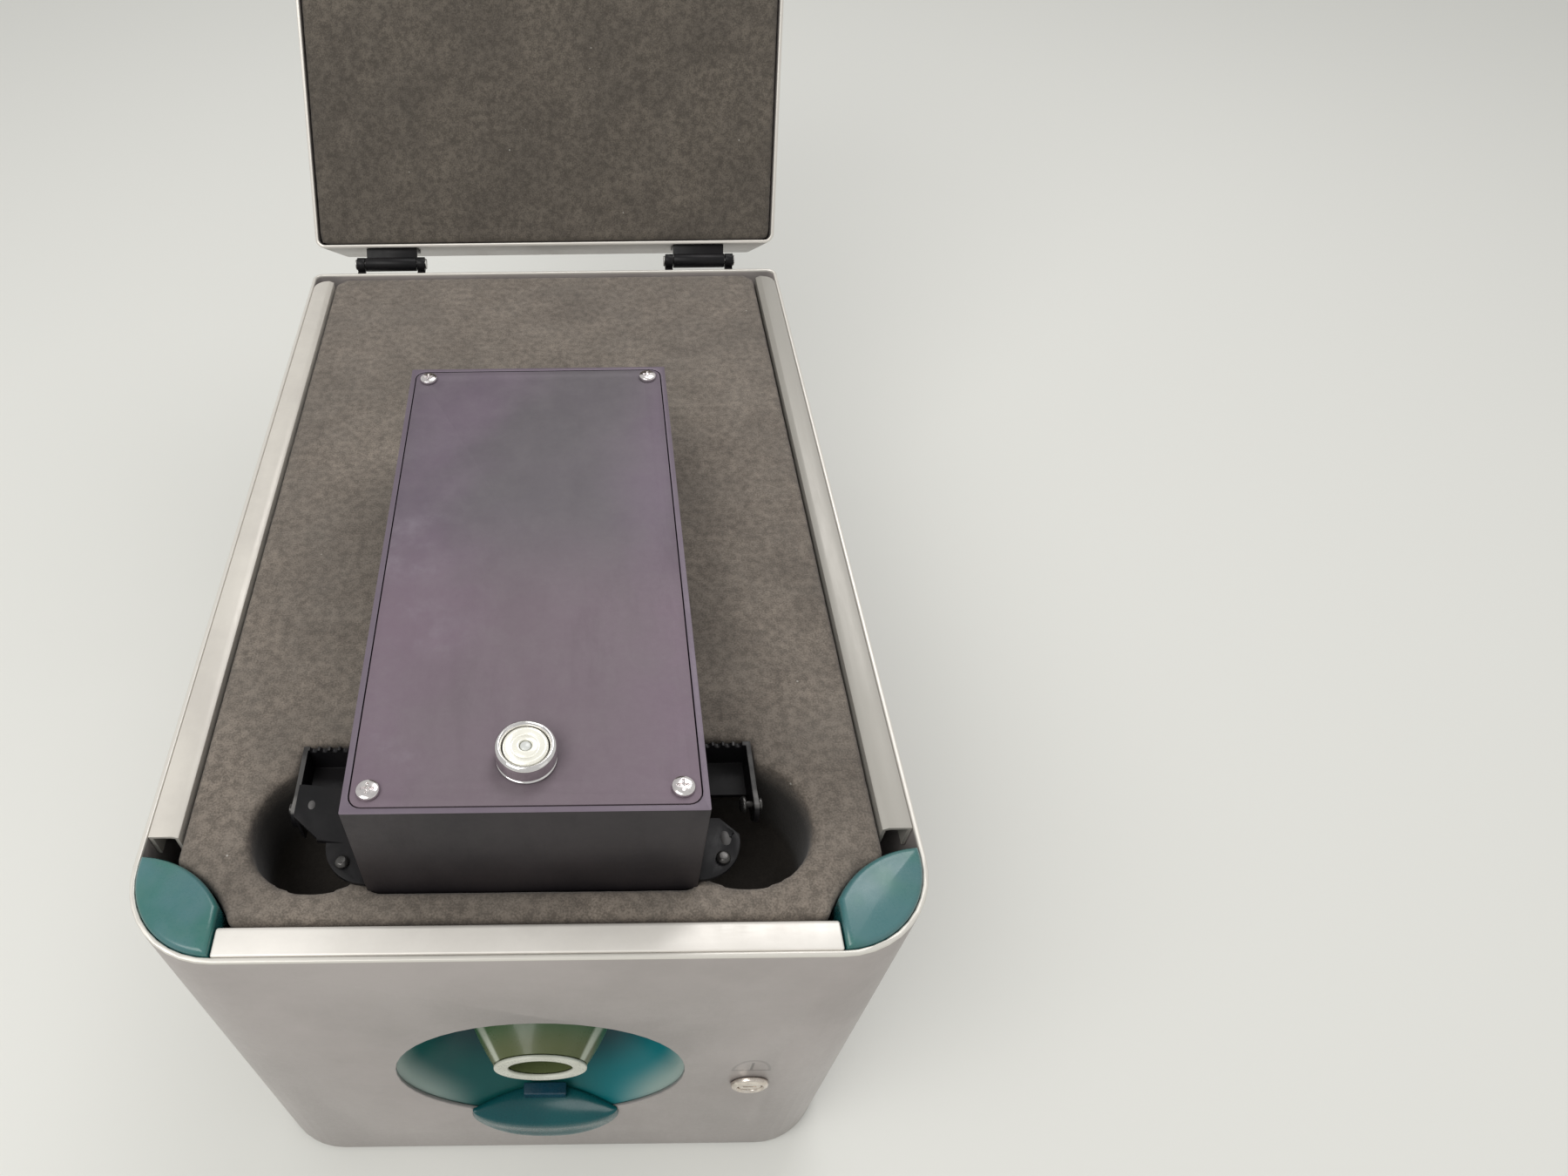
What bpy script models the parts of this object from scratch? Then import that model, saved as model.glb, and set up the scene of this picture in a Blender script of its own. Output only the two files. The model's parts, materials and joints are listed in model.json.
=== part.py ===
"""Portable spectrophotometer in its fitted instrument case.

Metres, +Z up. The origin is the centre of the rubber base mat's underside, +X is the
case's right and +Y runs to the rear, where the lid is hinged. The lid stands open.
"""

import math

import bmesh
import bpy
from mathutils import Matrix, Vector

# Fits
GAP = 0.0003            # between pieces that touch
RUN = 0.0004            # round a turning or sliding piece

# Case shell
CASE_W = 0.300
CASE_L = 0.462
CASE_H = 0.256
WALL = 0.002
FRONT_R = 0.038
REAR_R = 0.006
SHELL_LIFT = 0.002      # shell's lower edge above the mat's underside
MAT_T = 0.003
MAT_MARGIN = 0.014
BASE_T = 0.0025

# Rim rails, caps and foam
RAIL_W = 0.0115
RAIL_H = 0.013
RAIL_T = 0.0016
RAIL_CHAMFER = 0.0025
SIDE_RAIL_FRONT = 0.0505    # rail's front end behind the case's front
SIDE_RAIL_REAR = 0.0090     # rail's rear end ahead of the case's rear
RAIL_END_R = 0.008
FRONT_RAIL_W = 0.0115
CAP_FOOT = 0.0367            # front rail's end in from the case's side
CAP_R = 0.042               # inner arc, struck from the case's square corner
CAP_H = 0.012
CAP_RISE = 0.0032
CAP_BEVEL = 0.0026
FOAM_DROP = 0.0020          # foam below the rails' top
FOAM_UNDER_BOX = 0.0146
FOAM_CHAMFER = 0.006
FOAM_SIDE_GAP = 0.0008
LATCH_SLIT = 0.0019         # between the front rail and the foam
SHELF_T = 0.003
LEDGE_W = 0.014
LEDGE_T = 0.002

# Instrument
BOX_W = 0.124
BOX_L = 0.250
BOX_H = 0.095
BOX_RISE = 0.0526           # cover's top above the rails' top
BOX_X = 0.0012
BOX_FRONT = 0.0285          # box's front behind the case's front
BOX_WALL = 0.003
BOX_EDGE = 0.0006
COVER_T = 0.003
COVER_INSET = 0.0022
COVER_GROOVE = 0.0005
COVER_R = 0.005
SCREW_INSET = 0.0088
SCREW_HEAD_R = 0.0040
SCREW_HEAD_H = 0.0022
SCREW_SHANK_R = 0.0019
SCREW_SHANK_L = 0.008
BOSS_W = 0.011
BOSS_H = 0.016

# Push button
BUTTON_BACK = 0.0214        # button's axis behind the box's front
BUTTON_R = 0.0107
BUTTON_H = 0.0088
BUTTON_CAP_R = 0.0079
BUTTON_CAP_DROP = 0.0006
BUTTON_TRAVEL = 0.0015
BUTTON_BARREL_R = 0.0080
BUTTON_BARREL_L = 0.018
BUTTON_WELL = 0.0066
BUTTON_NUT_R = 0.0120
BUTTON_NUT_H = 0.003
LENS_R = 0.0019

# Finger holes and side arms
FINGER_R = 0.028
FINGER_OUT = 0.020          # hole's axis out from the box's side
FINGER_BACK = 0.056         # hole's axis behind the case's front
FINGER_DEPTH = 0.042
EAR_R = 0.0172
EAR_BACK = 0.0185           # ear's centre behind the box's front
EAR_T = 0.002
EAR_DROP = 0.026
EAR_REACH_LEFT = 0.0305
EAR_REACH_RIGHT = 0.0238
EAR_SLOPE_FROM = 0.0100   # the ear's flat part, out from the box's side
EAR_DIAGONAL = 0.0375      # where its rear edge leaves the box's side, behind the box's front
EAR_RISE = 0.004
EAR_TRIM = 0.010            # width of its sloped front outer corner
EAR_BOLT_X = 0.0098
EAR_BOLT_BACK = 0.0100
EAR_BOLT_R = 0.0028
EAR_BOLT_H = 0.0022
PIVOT_BACK = 0.0355         # arm's pivot behind the box's front
PIVOT_DROP = 0.004          # below the rails' top
PIVOT_R = 0.0015
PIVOT_HEAD_R = 0.0034
PIVOT_HEAD_H = 0.0022
ARM_L = 0.0270
ARM_DEPTH = 0.0150
ARM_RISE = 0.0050
ARM_T = 0.002
ARM_NOSE_R = 0.0068
ARM_INNER = 0.0045          # arm's clear distance from the box's side
TOOTH_PITCH = 0.0042
TOOTH_R = 0.0016
ARM_POCKET_GAP = 0.0014
ARM_SIDE_GAP = 0.0015

# Lid and hinges
LID_H = 0.076
LID_OPEN = 123.0
LID_GAP = 0.0006
LID_FOAM_RECESS = 0.0004
LID_FOAM_TOP_GAP = 0.0005
POCKET_GAP = 0.004
POCKET_TOP = 0.066
ARM_POCKET_X = 0.102
ARM_POCKET_FRONT = 0.033
ARM_POCKET_REAR = 0.098
ARM_POCKET_TOP = 0.034
HINGE_X = 0.1010
HINGE_L = 0.044
HINGE_KNUCKLE = 0.0330
HINGE_BACK = 0.0105         # hinge axis behind the case's rear
HINGE_R = 0.0043
HINGE_PIN_R = 0.0017
HINGE_LEAF_T = 0.002
HINGE_LEAF_H = 0.022

# Round grip in the front
GRIP_R = 0.065
GRIP_DROP = 0.130           # grip's axis below the rails' top
GRIP_DEPTH = 0.036
GRIP_BACK_R = 0.038
GRIP_WALL = 0.002
GRIP_LIP_R = 0.071
HUB_W = 0.042
HUB_TALL = 0.032
HUB_BORE_W = 0.029
HUB_BORE_TALL = 0.020
HUB_BACK_SCALE = 1.75
HUB_BORE_DEPTH = 0.024
HUB_UP = 0.0065
HUB_RING_T = 0.0016
PAD_HALF = 0.0360
PAD_DEPTH = 0.0115
PAD_RISE = 0.0050
PAD_NOSE = 0.0065           # how far its lip stands out of the front
PAD_LIP_DROP = 0.026        # lip's lower end below the opening's edge
TAB_W = 0.021
TAB_H = 0.004

# Lock and latch
LOCK_X = 0.0963
LOCK_DROP = 0.1455
LOCK_HEAD_R = 0.0088
LOCK_HEAD_H = 0.0030
LOCK_BARREL_R = 0.0078
LOCK_BARREL_L = 0.0095
LOCK_CORE_R = 0.0052
LOCK_NUT_R = 0.0120
LOCK_NUT_T = 0.0030
KEYWAY_W = 0.0016
KEYWAY_L = 0.0062
LOCK_TURN = 90.0
CRANK_R = 0.008
CRANK_PIN_R = 0.0015
CAM_T = 0.0018
LATCH_T = 0.0010
LATCH_SLOT_W = 0.0046
LATCH_SLOT_L = 0.0090
LATCH_BAR_TOP = 0.0060
LATCH_BAR_BOTTOM = 0.0200
LATCH_LEG_W = 0.0170
KEEPER_X = 0.045
KEEPER_W = 0.006
KEEPER_FOOT = 0.009
KEEPER_FOOT_T = 0.003
KEEPER_DROP = 0.0140
NOTCH_GAP = 0.0006

# Instrument's inner parts
BENCH_SIDE = 0.008          # bench's edge in from the box's side
BENCH_L = 0.100
BENCH_T = 0.004
BENCH_TOP = 0.024           # above the rails' top
LEG_R = 0.004
PORT_X = 0.0145
PORT_Z = 0.041
PORT_R = 0.0045
PORT_OUT = 0.012
JACK_BACK = 0.105
JACK_R = 0.0035
JACK_OUT = 0.0022
MIRROR_R = 0.0115
MIRROR_T = 0.006
PCB_T = 0.0016
BOARD_SIDE = 0.012
BATTERY_SIDE = 0.017

SEG = 48                    # sides of a large circle
SMALL = 20                  # sides of a small circle

# Derived places
RIM = CASE_H
FRONT_RAIL_HALF = CASE_W / 2 - CAP_FOOT
FINGER_X = BOX_W / 2 + FINGER_OUT
FRONT_Y = -CASE_L / 2
REAR_Y = CASE_L / 2
BOX_Y0 = FRONT_Y + BOX_FRONT
BOX_Y1 = BOX_Y0 + BOX_L
BOX_TOP = RIM + BOX_RISE
BOX_BOTTOM = BOX_TOP - BOX_H
BENCH_W = BOX_W - 2 * BENCH_SIDE
BOARD_HALF = BOX_W / 2 - BOARD_SIDE
BATTERY_HALF = BOX_W / 2 - BATTERY_SIDE
FOAM_TOP = RIM - FOAM_DROP
FOAM_BOTTOM = BOX_BOTTOM - FOAM_UNDER_BOX
FOAM_X = CASE_W / 2 - WALL - GAP - RAIL_W - FOAM_SIDE_GAP
RAIL_BACK_Y = FRONT_Y + WALL + GAP + FRONT_RAIL_W
FOAM_Y0 = RAIL_BACK_Y + LATCH_SLIT
FOAM_Y1 = REAR_Y - WALL - GAP
LATCH_Y = RAIL_BACK_Y + (LATCH_SLIT - LATCH_T) / 2
HINGE_Y = REAR_Y + HINGE_BACK
LID_TURN = Matrix.Translation((0, HINGE_Y, RIM)) @ Matrix.Rotation(
    math.radians(-LID_OPEN), 4, "X") @ Matrix.Translation((0, -HINGE_Y, -RIM))
PIVOT_Y = BOX_Y0 + PIVOT_BACK
PIVOT_Z = RIM - PIVOT_DROP
LATCH_TRAVEL = 2 * CRANK_R * math.sin(math.radians(LOCK_TURN / 2))

COLOURS = {
    "grey_sheet": ((0.42, 0.39, 0.38), 0.38, 0.7),
    "rail_metal": ((0.62, 0.61, 0.57), 0.42, 0.6),
    "teal": ((0.04, 0.25, 0.24), 0.3, 0.0),
    "deep_teal": ((0.02, 0.12, 0.14), 0.35, 0.0),
    "olive": ((0.16, 0.20, 0.09), 0.3, 0.3),
    "cream": ((0.75, 0.72, 0.58), 0.4, 0.0),
    "foam": ((0.13, 0.115, 0.10), 0.95, 0.0),
    "anodised": ((0.09, 0.075, 0.10), 0.35, 0.6),
    "black": ((0.015, 0.015, 0.017), 0.45, 0.2),
    "chrome": ((0.8, 0.8, 0.8), 0.12, 1.0),
    "steel": ((0.55, 0.55, 0.55), 0.3, 1.0),
    "rubber": ((0.03, 0.03, 0.03), 0.85, 0.0),
    "board": ((0.03, 0.18, 0.08), 0.5, 0.0),
    "glass": ((0.8, 0.85, 0.9), 0.05, 0.0),
}


def material(name):
    """The Principled BSDF material of that name, made once."""
    found = bpy.data.materials.get(name)
    if found:
        return found
    made = bpy.data.materials.new(name)
    made.use_nodes = True
    shader = made.node_tree.nodes["Principled BSDF"]
    colour, roughness, metallic = COLOURS[name]
    shader.inputs["Base Color"].default_value = (*colour, 1)
    shader.inputs["Roughness"].default_value = roughness
    shader.inputs["Metallic"].default_value = metallic
    return made


def place(name, bm, finish, helper=False):
    """Makes the object NAME from the bmesh, with outward faces, and links it to the scene."""
    bmesh.ops.recalc_face_normals(bm, faces=bm.faces)
    mesh = bpy.data.meshes.new(name)
    bm.to_mesh(mesh)
    bm.free()
    obj = bpy.data.objects.new(name, mesh)
    bpy.context.scene.collection.objects.link(obj)
    if helper:
        obj.hide_render = True
        obj.display_type = "WIRE"
    else:
        mesh.materials.append(material(finish))
        mesh.shade_smooth()
        mesh.set_sharp_from_angle(angle=math.radians(30))
    return obj


def turn(obj, matrix):
    """Applies a placement to the object's mesh."""
    obj.data.transform(matrix)
    return obj


def cut(obj, cutter, operation="DIFFERENCE"):
    """Adds an exact Boolean of the cutter to the object."""
    modifier = obj.modifiers.new("bool_" + cutter.name, "BOOLEAN")
    modifier.operation = operation
    modifier.solver = "EXACT"
    modifier.object = cutter
    return obj


def prism(outline, low, high, axis="Z", holes=()):
    """A bmesh of the outline extruded from low to high along an axis.

    The outline's two coordinates are (x, y) for Z, (x, z) for Y and (y, z) for X.
    """
    bm = bmesh.new()
    loops = [outline, *holes]
    rings = []
    for level in (low, high):
        rings.append([[bm.verts.new(lift(u, v, level, axis)) for u, v in loop] for loop in loops])
    for lower, upper in zip(*rings):
        count = len(lower)
        for i in range(count):
            j = (i + 1) % count
            bm.faces.new((lower[i], lower[j], upper[j], upper[i]))
    for ring in rings:
        if holes:
            edges = [bm.edges.get((loop[i], loop[i - 1])) for loop in ring for i in range(len(loop))]
            bmesh.ops.triangle_fill(bm, edges=edges, use_beauty=True)
        else:
            bm.faces.new(ring[0])
    return bm


def lift(u, v, level, axis):
    return {"Z": (u, v, level), "Y": (u, level, v), "X": (level, u, v)}[axis]


def block(low, high):
    """A bmesh box between two corners."""
    outline = [(low[0], low[1]), (high[0], low[1]), (high[0], high[1]), (low[0], high[1])]
    return prism(outline, low[2], high[2])


def arc(centre, radius, start, end, count, tall=None):
    """Points on an arc, angles in degrees, both ends included; tall is the other semi-axis."""
    tall = radius if tall is None else tall
    steps = [math.radians(start + (end - start) * i / count) for i in range(count + 1)]
    return [(centre[0] + radius * math.cos(a), centre[1] + tall * math.sin(a)) for a in steps]


def circle(centre, radius, count=SEG, tall=None):
    return arc(centre, radius, 0, 360, count, tall)[:-1]


def rounded(half_w, y0, y1, r_front, r_rear, x0=0.0, count=10):
    """A rectangle in plan with round front (low y) and rear corners, counter-clockwise."""
    left, right = x0 - half_w, x0 + half_w
    points = arc((left + r_front, y0 + r_front), r_front, 180, 270, count)
    points += arc((right - r_front, y0 + r_front), r_front, 270, 360, count)
    points += arc((right - r_rear, y1 - r_rear), r_rear, 0, 90, count)
    points += arc((left + r_rear, y1 - r_rear), r_rear, 90, 180, count)
    return points


def case_outline(inset):
    """The case's plan, moved inwards by inset."""
    return rounded(CASE_W / 2 - inset, FRONT_Y + inset, REAR_Y - inset,
                   FRONT_R - inset, REAR_R - inset)


def turned(profile, centre, axis, count=SMALL, scale=(1.0, 1.0)):
    """A solid of revolution. The closed profile is (radius, height) points; scale makes it oval.

    A radius of 0 becomes one shared point, so that the solid closes on its axis.
    """
    bm = bmesh.new()
    rings = []
    for radius, height in profile:
        if radius == 0:
            rings.append([bm.verts.new(about(0, 0, height, centre, axis))])
            continue
        ring = circle((0, 0), radius, count)
        rings.append([bm.verts.new(about(u * scale[0], v * scale[1], height, centre, axis))
                      for u, v in ring])
    for first, second in zip(rings, rings[1:] + rings[:1]):
        if len(first) == 1 and len(second) == 1:
            continue
        for i in range(count):
            j = (i + 1) % count
            corners = [first[i % len(first)], first[j % len(first)],
                       second[j % len(second)], second[i % len(second)]]
            bm.faces.new(list(dict.fromkeys(corners)))
    return bm


def about(u, v, height, centre, axis):
    """A point given by two coordinates across an axis and a height along it."""
    offset = {"Z": (u, v, height), "Y": (u, height, v), "X": (height, u, v)}[axis]
    return Vector(centre) + Vector(offset)


def rod(centre, axis, radius, low, high, count=SMALL):
    """A plain cylinder; low and high are heights along its axis from the centre."""
    return turned([(0, low), (radius, low), (radius, high), (0, high)], centre, axis, count)


def joined(name, finish, pieces):
    """One object from overlapping pieces, joined by Boolean unions. Each piece is a bmesh."""
    obj = place(name, pieces[0], finish)
    for index, piece in enumerate(pieces[1:]):
        cut(obj, place(f"{name}_add{index}", piece, finish, helper=True), "UNION")
    return obj


def hole(obj, bm):
    """Cuts a bmesh from an object."""
    return cut(obj, place(f"{obj.name}_cut{len(obj.modifiers)}", bm, None, helper=True))


def apply_pivot(obj, pivot):
    """Moves the object's origin to its joint's axis, leaving its shape where it is."""
    obj.data.transform(Matrix.Translation(-Vector(pivot)))
    obj.location = pivot


def clear_scene():
    for obj in list(bpy.data.objects):
        bpy.data.objects.remove(obj)


# Case ------------------------------------------------------------------------------------


def case_shell():
    bm = prism(case_outline(0), SHELL_LIFT, RIM, holes=[case_outline(WALL)])
    shell = place("case_shell", bm, "grey_sheet")
    grip_z = RIM - GRIP_DROP
    hole(shell, rod((0, FRONT_Y, grip_z), "Y", GRIP_R, -WALL, 2 * WALL, SEG))
    lock = (LOCK_X, FRONT_Y, RIM - LOCK_DROP)
    hole(shell, rod(lock, "Y", LOCK_BARREL_R + GAP, -WALL, 2 * WALL, SMALL))


def base():
    half = CASE_W / 2 - MAT_MARGIN
    outline = rounded(half, FRONT_Y + MAT_MARGIN, REAR_Y - MAT_MARGIN, FRONT_R - MAT_MARGIN, REAR_R)
    place("base_mat", prism(outline, 0, MAT_T), "rubber")
    low = MAT_T + GAP
    place("base_panel", prism(case_outline(WALL + GAP), low, low + BASE_T), "steel")


def side_rail(name, side):
    """Hollow rim rail, open underneath, with a chamfered inner edge and a round rear end."""
    outer = CASE_W / 2 - WALL - GAP
    inner = outer - RAIL_W
    top = RIM
    profile = [
        (outer, top), (inner + RAIL_CHAMFER, top), (inner, top - RAIL_CHAMFER / 2),
        (inner, top - RAIL_H), (inner + RAIL_T, top - RAIL_H),
        (inner + RAIL_T, top - RAIL_CHAMFER / 2 - RAIL_T / 2),
        (inner + RAIL_CHAMFER + RAIL_T / 2, top - RAIL_T), (outer - RAIL_T, top - RAIL_T),
        (outer - RAIL_T, top - RAIL_H), (outer, top - RAIL_H),
    ]
    y0 = FRONT_Y + SIDE_RAIL_FRONT
    y1 = REAR_Y - SIDE_RAIL_REAR
    rail = place(name, prism(profile, y0, y1, "Y"), "rail_metal")
    end = (outer - RAIL_END_R, y1 - RAIL_END_R)
    corner = arc(end, RAIL_END_R, 0, 90, 6)
    corner = [(outer + WALL, y1 - RAIL_END_R), *corner, (end[0], y1 + WALL), (outer + WALL, y1 + WALL)]
    cutter = place(name + "_end", prism(corner, top - 2 * RAIL_H, top + RAIL_H), None, helper=True)
    cut(rail, cutter)
    if side < 0:
        for obj in (rail, cutter):
            mirror_x(obj)


def mirror_x(obj):
    """Turns an object into its mirror image across the plane x = 0, faces still outwards."""
    obj.data.transform(Matrix.Scale(-1, 4, (1, 0, 0)))
    obj.data.flip_normals()


def front_rail():
    y0 = FRONT_Y + WALL + GAP
    y1 = RAIL_BACK_Y
    top = RIM
    profile = [
        (y0, top), (y1 - RAIL_CHAMFER / 2, top), (y1, top - RAIL_CHAMFER / 2),
        (y1, top - RAIL_H), (y1 - RAIL_T, top - RAIL_H), (y1 - RAIL_T, top - RAIL_T),
        (y0 + RAIL_T, top - RAIL_T), (y0 + RAIL_T, top - RAIL_H), (y0, top - RAIL_H),
    ]
    half = FRONT_RAIL_HALF - GAP
    place("front_rail", prism(profile, -half, half, "X"), "rail_metal")


def cap_outline(side, inset):
    """Leaf shape between the shell's inner corner and an arc struck from the square corner.

    The front rail's end trims it. All of it is moved inwards by inset.
    """
    centre = (CASE_W / 2 - FRONT_R, FRONT_Y + FRONT_R)
    corner = (CASE_W / 2, FRONT_Y)
    shell_r = FRONT_R - WALL - GAP - inset
    inner_r = CAP_R - inset
    limit = FRONT_RAIL_HALF + GAP + inset
    foot = -math.acos((limit - centre[0]) / shell_r)
    apart = math.dist(centre, corner)
    along = (apart ** 2 + shell_r ** 2 - inner_r ** 2) / (2 * apart)
    across = math.sqrt(shell_r ** 2 - along ** 2)
    tip = (centre[0] + (along + across) / math.sqrt(2), centre[1] - (along - across) / math.sqrt(2))
    tip_angle = math.atan2(tip[1] - centre[1], tip[0] - centre[0])
    points = arc(centre, shell_r, math.degrees(foot), math.degrees(tip_angle), 14)
    start = math.pi + math.atan2(corner[1] - tip[1], corner[0] - tip[0])
    end = math.pi - math.acos((corner[0] - limit) / inner_r)
    points += arc(corner, inner_r, math.degrees(start), math.degrees(end), 14)[1:]
    return [(side * x, y) for x, y in points]


def corner_cap(name, side):
    """Corner cap whose top swells a little above the rim."""
    levels = [(0, RIM - CAP_H), (0, RIM + CAP_RISE * 0.45), (CAP_BEVEL * 0.2, RIM + CAP_RISE * 0.75),
              (CAP_BEVEL * 0.6, RIM + CAP_RISE * 0.93), (CAP_BEVEL * 1.3, RIM + CAP_RISE)]
    bm = bmesh.new()
    rings = [[bm.verts.new((x, y, z)) for x, y in cap_outline(side, inset)] for inset, z in levels]
    count = len(rings[0])
    for lower, upper in zip(rings, rings[1:]):
        for i in range(count):
            bm.faces.new((lower[i], lower[(i + 1) % count], upper[(i + 1) % count], upper[i]))
    bm.faces.new(rings[0])
    bm.faces.new(rings[-1])
    place(name, bm, "teal")


def foam_outline():
    """The foam's plan: a rectangle whose front corners are hollowed round the corner caps."""
    reach = CAP_R + 2 * GAP
    corner = (CASE_W / 2, FRONT_Y)
    rise = math.degrees(math.asin((FOAM_Y0 - corner[1]) / reach))
    lean = math.degrees(math.acos((corner[0] - FOAM_X) / reach))
    right = arc(corner, reach, 180 - rise, 180 - lean, 10)
    left = [(-x, y) for x, y in reversed(right)]
    chamfer = FOAM_CHAMFER
    rear = [(FOAM_X, FOAM_Y1 - chamfer), (FOAM_X - chamfer, FOAM_Y1),
            (chamfer - FOAM_X, FOAM_Y1), (-FOAM_X, FOAM_Y1 - chamfer)]
    return right + rear + left


def foam_insert():
    """Tray foam with the instrument's pocket, the finger holes and the arms' pockets."""
    foam = place("foam_insert", prism(foam_outline(), FOAM_BOTTOM, FOAM_TOP), "foam")
    over = FOAM_TOP + 0.010
    floor = BOX_BOTTOM - GAP
    half = BOX_W / 2 + 2 * GAP
    hole(foam, block((BOX_X - half, BOX_Y0 - 2 * GAP, floor), (BOX_X + half, BOX_Y1 + 2 * GAP, over)))
    for side, reach in ((-1, EAR_REACH_LEFT), (1, EAR_REACH_RIGHT)):
        centre = (side * FINGER_X, FRONT_Y + FINGER_BACK, FOAM_TOP - FINGER_DEPTH)
        hole(foam, rod(centre, "Z", FINGER_R, 0, FINGER_DEPTH + 0.010, SEG))
        near = BOX_X + side * (BOX_W / 2 - BOX_WALL)
        far = BOX_X + side * (BOX_W / 2 + reach + ARM_T + ARM_SIDE_GAP)
        rear = PIVOT_Y + math.hypot(ARM_L, ARM_DEPTH - ARM_RISE) + ARM_POCKET_GAP
        low = PIVOT_Z - ARM_DEPTH - EAR_DROP / 2
        hole(foam, block((min(near, far), FRONT_Y + FINGER_BACK, low), (max(near, far), rear, over)))


def shelf():
    top = FOAM_BOTTOM - GAP
    half = CASE_W / 2 - WALL - 2 * GAP
    behind_grip = FRONT_Y + WALL + GRIP_DEPTH + 0.006
    rear = REAR_Y - WALL - 2 * GAP
    front_half = GRIP_LIP_R + 0.012
    outline = rounded(half, FRONT_Y + FRONT_R, rear, LEDGE_T, REAR_R - WALL)
    place("shelf_panel", prism(outline, top - SHELF_T, top), "steel")
    ledge_top = top - SHELF_T - GAP
    for name, side in (("shelf_ledge_left", -1), ("shelf_ledge_right", 1)):
        outer = CASE_W / 2 - WALL - GAP
        profile = [(outer, ledge_top), (outer - LEDGE_W, ledge_top),
                   (outer - LEDGE_W, ledge_top - LEDGE_T), (outer - LEDGE_T, ledge_top - LEDGE_T),
                   (outer - LEDGE_T, ledge_top - LEDGE_W), (outer, ledge_top - LEDGE_W)]
        profile = [(side * x, z) for x, z in profile]
        place(name, prism(profile, behind_grip, rear - front_half / 2, "Y"), "steel")


# Front grip and lock ---------------------------------------------------------------------


def grip():
    centre = (0, FRONT_Y + WALL + GAP, RIM - GRIP_DROP)
    wall = GRIP_WALL
    dish = [
        (GRIP_R, 0), (GRIP_BACK_R, GRIP_DEPTH), (0, GRIP_DEPTH), (0, GRIP_DEPTH + wall),
        (GRIP_BACK_R + wall, GRIP_DEPTH + wall), (GRIP_R + wall, wall), (GRIP_LIP_R, wall),
        (GRIP_LIP_R, 0),
    ]
    place("grip_dish", turned(dish, centre, "Y", SEG), "teal")
    oval = (1.0, HUB_TALL / HUB_W)
    bore = HUB_BORE_W / 2
    hub_centre = (0, FRONT_Y, centre[2] + HUB_UP)
    back = WALL + GRIP_DEPTH
    hub = [
        (0, HUB_BORE_DEPTH), (bore, HUB_BORE_DEPTH * 0.8), (bore, HUB_RING_T + GAP),
        (HUB_W / 2, HUB_RING_T + GAP), (HUB_W / 2 * HUB_BACK_SCALE, back), (0, back),
    ]
    place("grip_hub", turned(hub, hub_centre, "Y", SEG, oval), "olive")
    ring = [(bore, 0.0004), (bore + 0.0008, 0), (HUB_W / 2 - 0.0008, 0), (HUB_W / 2, 0.0004),
            (HUB_W / 2, HUB_RING_T), (bore, HUB_RING_T)]
    place("grip_ring", turned(ring, hub_centre, "Y", SEG, oval), "cream")
    grip_pad(centre)


def grip_pad(centre):
    """Thumb pad: a low dome on the dish's lower wall that runs out into a lip over the case's
    front, with a small dark stop block on it."""
    slope = (GRIP_R - GRIP_BACK_R) / GRIP_DEPTH
    outside = -WALL - 2 * GAP - PAD_NOSE / 2
    depths = [outside, 0] + [PAD_DEPTH * share for share in (0.2, 0.4, 0.6, 0.8, 0.93, 1)]
    steps = 16
    bm = bmesh.new()
    lower, upper = [], []
    for depth in depths:
        share = max(0.0, depth / PAD_DEPTH)
        half = PAD_HALF * math.sqrt(1 - share ** 2) + 4 * GAP
        radius = GRIP_R - slope * max(0.0, depth) - 2 * GAP
        row_low, row_high = [], []
        for i in range(steps + 1):
            x = half * (2 * i / steps - 1)
            floor = centre[2] - math.sqrt(radius ** 2 - x ** 2)
            swell = math.sqrt(1 - (x / half) ** 2) * (1 - share ** 3)
            row_low.append(bm.verts.new((x, centre[1] + depth, floor)))
            row_high.append(bm.verts.new((x, centre[1] + depth, floor + 3 * GAP + PAD_RISE * swell)))
        lower.append(row_low)
        upper.append(row_high)
    for rows in (lower, upper):
        for a, b in zip(rows, rows[1:]):
            for i in range(steps):
                bm.faces.new((a[i], a[i + 1], b[i + 1], b[i]))
    for end in (0, -1):
        for i in range(steps):
            bm.faces.new((lower[end][i + 1], lower[end][i], upper[end][i], upper[end][i + 1]))
    for low, high in zip(zip(lower, lower[1:]), zip(upper, upper[1:])):
        for i in (0, steps):
            bm.faces.new((low[0][i], low[1][i], high[1][i], high[0][i]))
    half = PAD_HALF + 4 * GAP
    face = FRONT_Y - GAP
    plan = arc((0, face), half, 180, 360, 24, PAD_NOSE)
    rim = centre[2] - GRIP_R
    joined("grip_pad", "teal", [bm, prism(plan, rim - PAD_LIP_DROP, rim + PAD_RISE * 0.6)])
    profile = []
    for share in (0.25, 0.5, 0.75):
        radius = GRIP_R - slope * PAD_DEPTH * share - 2 * GAP
        edge = centre[2] - math.sqrt(radius ** 2 - (TAB_W / 2) ** 2)
        profile.append((centre[1] + PAD_DEPTH * share, edge + PAD_RISE * (1 - share ** 3) + 4 * GAP))
    top = max(z for _, z in profile) + TAB_H
    profile += [(profile[-1][0], top), (profile[0][0], top)]
    place("grip_stop", prism(profile, -TAB_W / 2, TAB_W / 2, "X"), "deep_teal")


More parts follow.
